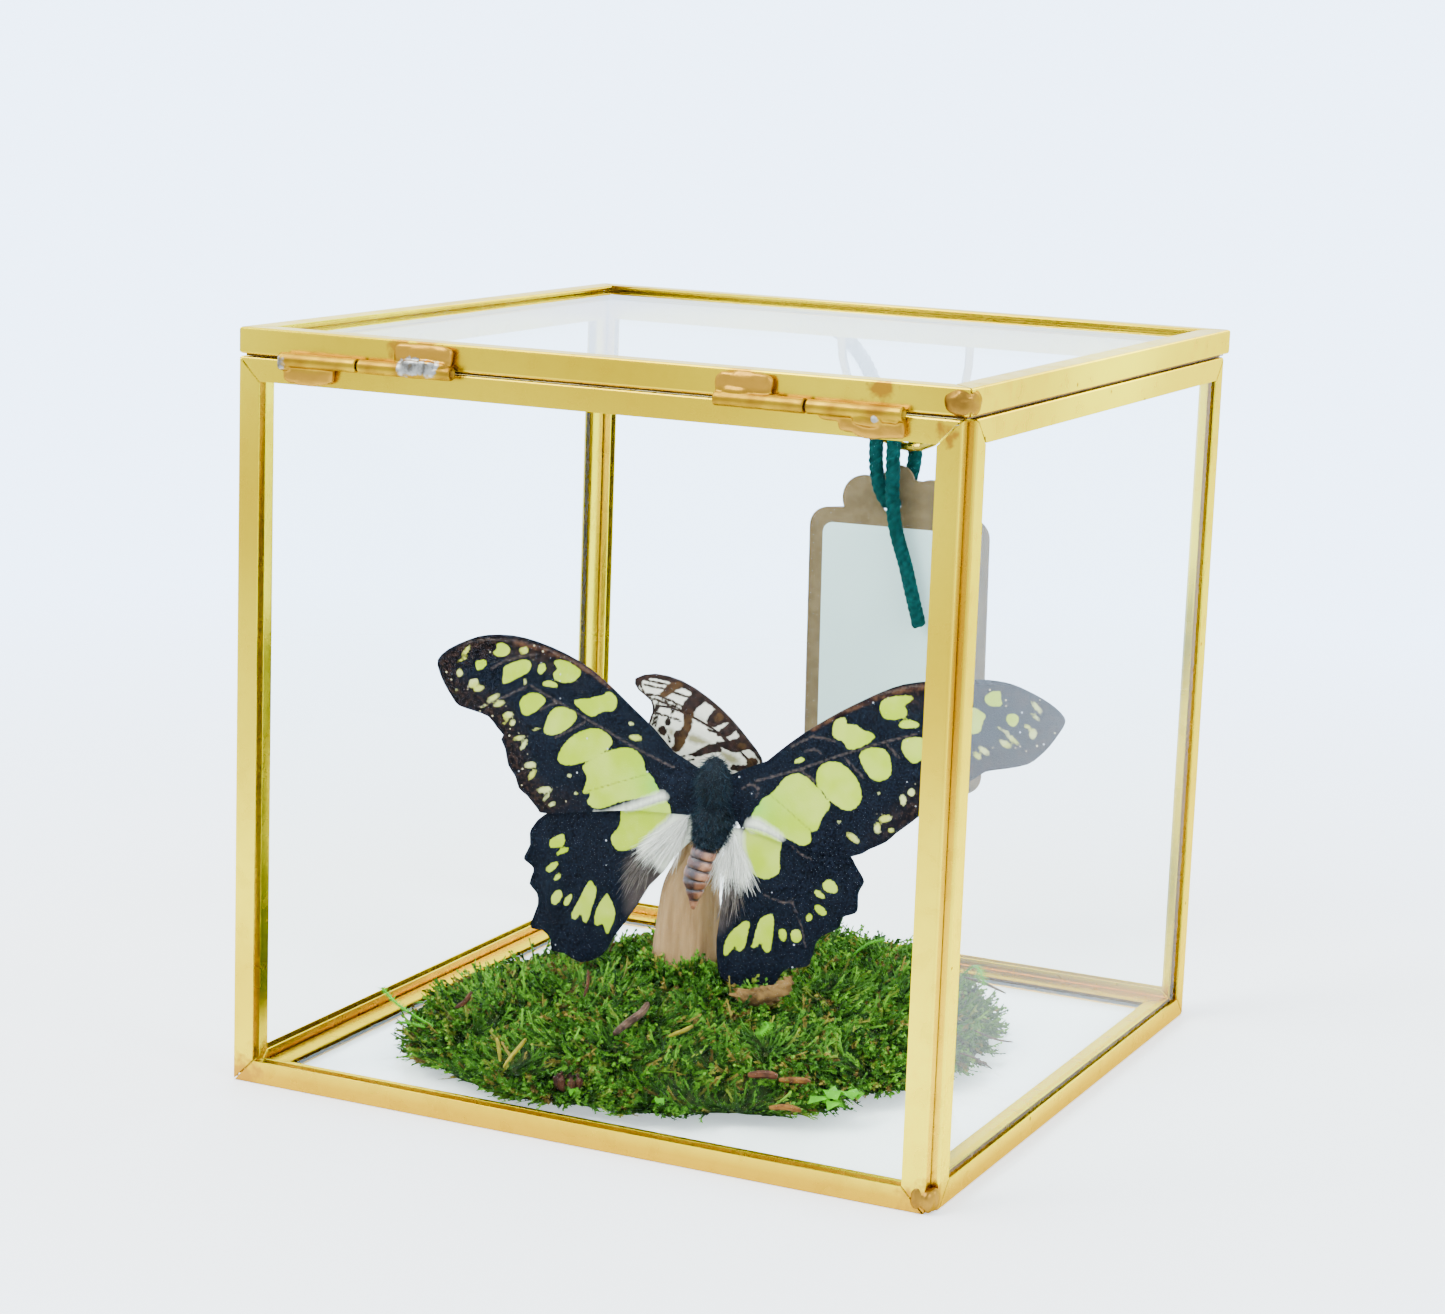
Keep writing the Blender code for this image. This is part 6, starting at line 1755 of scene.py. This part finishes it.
class CASE_OT_moss(bpy.types.Operator):
    """Make the moss mound, its sprigs and the bits lying in it"""
    bl_idname = "butterfly_case.moss"
    bl_label = "Moss"

    def execute(self, context):
        props = context.scene.case_moss
        # The mound's skin under the sprigs is painted near-black: painted shade for the gaps deep among the
        # sprigs
        painted_gap_shade = mottled_finish("moss_floor", (0.006, 0.014, 0.002), (0.018, 0.026, 0.004), 500, 0.9, 0.3 * MM)
        rings, sides = ((60, 180))
        hand_over(link_object("moss_mound", moss_surface(rings, sides), painted_gap_shade, 60), "case", "moss")
        green = moss_finish("green_moss", (0.023, 0.074, 0.007), (0.070, 0.205, 0.016), (0.155, 0.38, 0.028),
                            (0.24, 0.175, 0.035))
        shaded = moss_finish("shaded_moss", (0.011, 0.032, 0.005), (0.032, 0.098, 0.009),
                             (0.072, 0.20, 0.016), (0.11, 0.070, 0.016))
        lengths = [props.sprig_length * (0.75 + 0.12 * k) for k in range(5)]
        kinds = [sprig_kind(f"sprig_{k}", length, 10 + k, k) for k, length in enumerate(lengths)]
        for layer in range(props.layers):
            sprigs = grow_sprigs(
                f"moss_sprigs_{layer + 1}", moss_surface(30, 90), [kind.copy() for kind in kinds],
                shaded if layer % 2 else green, props.sprigs, props.seed + layer, (0.6, 1.15), 0.42)
            for v in sprigs.data.vertices:
                if v.co.z < SPRIG_FLOOR_Z:
                    v.co.z = SPRIG_FLOOR_Z + (v.co.z - SPRIG_FLOOR_Z) * 0.02
        self.collar(green)
        self.twigs()
        self.leaves()
        self.pod()
        return {"FINISHED"}

    @staticmethod
    def collar(material):
        """Moss that climbs the foot of the post in peaks."""
        sides, rows, radius = 72, 8, 5.45
        points, lie, cover = [], [], []
        for j in range(rows + 1):
            for angle in turns(sides):
                z = 9.4 + 3.6 * j / rows
                top = 11.4 + 1.5 * abs(math.sin(2.6 * angle + 0.5)) ** 1.5
                points.append(mm((-5.7 + radius * math.cos(angle), -4.0 + radius * math.sin(angle), z)))
                lie.append((0.35 * math.cos(angle), 0.35 * math.sin(angle), 1.0))
                cover.append(1.0 if z < top else 0.0)
        surface = mesh_from("moss_collar", points, band_faces(rows, sides))
        store(surface, "lie", lie)
        store(surface, "cover", cover)
        kinds = [sprig_kind(f"collar_{k}", (1.5 + 0.3 * k) * MM, 7 + k, 20 + k) for k in range(3)]
        grow_sprigs("moss_collar", surface, kinds, material, 900, 4, (0.6, 1.1), 0.45)

    @staticmethod
    def twigs():
        """Twigs, stems and flakes, a piece for each colour."""
        for shade, (a, b) in TWIG_COLOURS.items():
            tubes = []
            for points, thickness, kind in MOSS_TWIGS:
                if kind == shade:
                    line = smooth_line([mm(p) for p in points], 5)
                    last = len(line) - 1
                    radii = [thickness * MM * (1 - 0.5 * abs(2 * i / last - 1) ** 3)
                             for i in range(len(line))]
                    tubes.append((line, radii, 7))
            name = f"moss_twigs_{shade}"
            finish = mottled_finish(f"{shade}_twig", a, b, 900, 0.7, 0.1 * MM)
            hand_over(link_object(name, tubes_mesh(name, tubes), finish, 50), "case")

    @staticmethod
    def leaves():
        """Longer fronds and bright leaves."""
        fresh = mottled_finish("fresh_leaf", (0.075, 0.33, 0.003), (0.045, 0.22, 0.003), 300, 0.6, 0.05 * MM)
        points, faces = [], []
        for line, reach in MOSS_FRONDS:
            stem = smooth_line([mm(p) for p in line], 6)
            ring_points, ring_faces = tube_parts(stem, [0.16 * MM] * len(stem), 4, len(points))
            points += ring_points
            faces += ring_faces
            for i, root in enumerate(stem[1:-1]):
                ahead = (stem[i + 2] - root).normalized()
                for side in (-1, 1):
                    across = ahead.cross(Vector((0, 0, 1))).normalized() * side
                    tip = root + (across + ahead * 0.8 + Vector((0, 0, 0.2))).normalized() * reach * MM
                    a = len(points)
                    points += [root - ahead * 0.15 * MM, root + ahead * 0.15 * MM, tip,
                               root - Vector((0, 0, 0.12 * MM))]
                    faces += [(a, a + 1, a + 2), (a + 1, a + 3, a + 2), (a + 3, a, a + 2), (a, a + 3, a + 1)]
        count = 9
        for x, y, z, size, turn in BRIGHT_LEAVES:
            first = len(points)
            centre = mm((x, y, z))
            points += [centre + Vector((0, 0, 0.35 * MM)), centre - Vector((0, 0, 0.1 * MM))]
            for k in range(count):
                angle = turn + 2 * math.pi * k / count
                rim = (math.cos(angle) * size * (0.8 + 0.25 * math.sin(3 * k)),
                       math.sin(angle) * size * (0.7 + 0.2 * math.cos(5 * k)), 0.5 * math.sin(turn + 2.0 * k))
                points.append(centre + mm(rim))
                a, b = first + 2 + k, first + 2 + (k + 1) % count
                faces += [(first, a, b), (first + 1, b, a)]
        fronds = link_object("moss_fronds", mesh_from("moss_fronds", points, faces), fresh, 50)
        hand_over(fronds, "case")

    @staticmethod
    def pod():
        """A dry seed pod of seven lobes."""
        tubes = []
        for angle in turns(7):
            line = [mm((-4.6 + r * math.cos(angle), -40.6 + r * math.sin(angle) * 0.8, z))
                    for r, z in ((0.5, 4.0), (1.2, 4.4), (1.6, 5.2), (1.3, 5.9))]
            tubes.append((smooth_line(line, 4), [0.5 * MM] * 10 + [0.2 * MM] * 3, 6))
        finish = mottled_finish("dry_pod", (0.060, 0.022, 0.012), (0.015, 0.006, 0.004), 700, 0.7, 0.1 * MM)
        hand_over(link_object("moss_pod", tubes_mesh("moss_pod", tubes), finish, 50), "case")


class CASE_OT_wood(bpy.types.Operator):
    """Make the weathered post and the chip of bark"""
    bl_idname = "butterfly_case.wood"
    bl_label = "Post and bark"

    def execute(self, context):
        self.post()
        material = mottled_finish("dry_bark", (0.16, 0.090, 0.028), (0.060, 0.032, 0.010), 420, 0.8, 0.3 * MM)
        chip = link_object("bark_piece", body_mesh("bark_piece", BARK_LINE, 28, 10, 0.9, 5), material, 60)
        hand_over(chip, "case", "bark_chip")
        return {"FINISHED"}

    @staticmethod
    def post():
        """The post, with grooves along it and a splintered top."""
        sides = 120
        line = smooth_line(POST_LINE, 16)
        rows = len(line)
        points = []
        for i, (x, y, z, radius) in enumerate(line):
            for angle in turns(sides):
                ray = Vector((math.cos(angle), math.sin(angle), 0))
                sample = ray * radius
                groove = noise.noise(Vector((sample.x * 1.4, sample.y * 1.4, z * 0.10)))
                fine = noise.noise(Vector((sample.x * 4.0, sample.y * 4.0, z * 0.22 + 7)))
                reach = radius * 0.97 + 0.28 * groove + 0.10 * fine
                splinter = 0.5 * (1 + fine) if i == rows - 1 else 0
                points.append(mm((x + ray.x * reach, y + ray.y * reach, z - splinter)))
        faces = band_faces(rows - 1, sides)
        faces += [tuple(reversed(range(sides))), tuple(range((rows - 1) * sides, rows * sides))]
        post = link_object("post_wood", mesh_from("post_wood", points, faces), wood_finish(), 50)
        hand_over(post, "case", "post")


class CASE_OT_stage(bpy.types.Operator):
    """Set the floor, the surroundings and the soft lights"""
    bl_idname = "butterfly_case.stage"
    bl_label = "Stage"

    def execute(self, context):
        props = context.scene.case_stage
        mesh = bpy.data.meshes.new("floor")
        with editing(mesh) as bm:
            bmesh.ops.create_grid(bm, x_segments=1, y_segments=1, size=props.floor_size / 2)
        link_object("floor", mesh, floor_finish())
        context.scene.world = self.surroundings(props.sky)
        for name, place, size, share in LAMPS:
            data = bpy.data.lights.new(name, "AREA")
            data.shape = "SQUARE"
            data.size = size
            data.energy = props.key_power * share
            lamp = bpy.data.objects.new(name, data)
            lamp.location = place
            lamp.rotation_euler = (Vector(CAMERA_TARGET) - Vector(place)).to_track_quat("-Z", "Y").to_euler()
            context.scene.collection.objects.link(lamp)
        return {"FINISHED"}

    @staticmethod
    def surroundings(sky):
        """A pale room, a bright wall on the +Y side, and a bright backdrop that only straight views see."""
        world = bpy.data.worlds.new("surroundings")
        world.use_nodes = True
        n = Nodes(world.node_tree)
        split = n.add("ShaderNodeSeparateXYZ", {0: n.add("ShaderNodeTexCoord")["Generated"]})
        heights = n.ramp(n.remap(split[2], -1, 1), SKY_STOPS)
        room = n.remap(split[1], -0.9, 0.3, 0.62, 1.0, kind="SMOOTHSTEP")
        light = n.mix(room, (0, 0, 0), heights)
        light = n.mix(n.remap(split[1], 0.55, 0.9), light, WALL_LIGHT)
        rays = n.add("ShaderNodeLightPath")
        straight = n.maths("LESS_THAN", rays["Diffuse Depth"], 0.5)
        seen = n.maths("MAXIMUM", rays["Is Camera Ray"], rays["Is Transmission Ray"])
        backdrop = n.mix(n.maths("MULTIPLY", seen, straight), light, BACKDROP_LIGHT)
        n.link(n.tree.nodes["Background"], {0: backdrop, 1: sky})
        return world


OPERATORS = (CASE_OT_camera, CASE_OT_tag, CASE_OT_case, CASE_OT_solder, CASE_OT_wings, CASE_OT_bodies,
             CASE_OT_moss, CASE_OT_wood, CASE_OT_stage)
GROUPS = {"case_finish": CaseFinish, "case_wings": WingFinish, "case_moss": MossFinish,
          "case_twine": TwineFinish, "case_stage": StageSetup}


class CASE_PT_panel(bpy.types.Panel):
    """Sizes, colours and steps of the butterfly case"""
    bl_idname = "CASE_PT_panel"
    bl_label = "Butterfly Case"
    bl_space_type = "VIEW_3D"
    bl_region_type = "UI"
    bl_category = "Butterfly Case"

    def draw(self, context):
        for name in GROUPS:
            group = getattr(context.scene, name)
            box = self.layout.box()
            for key in group.__annotations__:
                box.prop(group, key)
        for operator in OPERATORS:
            self.layout.operator(operator.bl_idname)


def register():
    for kind in (*GROUPS.values(), *OPERATORS, CASE_PT_panel):
        bpy.utils.register_class(kind)
    for name, kind in GROUPS.items():
        setattr(bpy.types.Scene, name, bpy.props.PointerProperty(type=kind))


def unregister():
    for name in GROUPS:
        delattr(bpy.types.Scene, name)
    for kind in (CASE_PT_panel, *reversed(OPERATORS), *reversed(GROUPS.values())):
        bpy.utils.unregister_class(kind)


def main():
    register()
    for operator in OPERATORS:
        group, name = operator.bl_idname.split(".")
        getattr(getattr(bpy.ops, group), name)()
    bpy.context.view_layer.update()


if __name__ == "__main__":
    main()
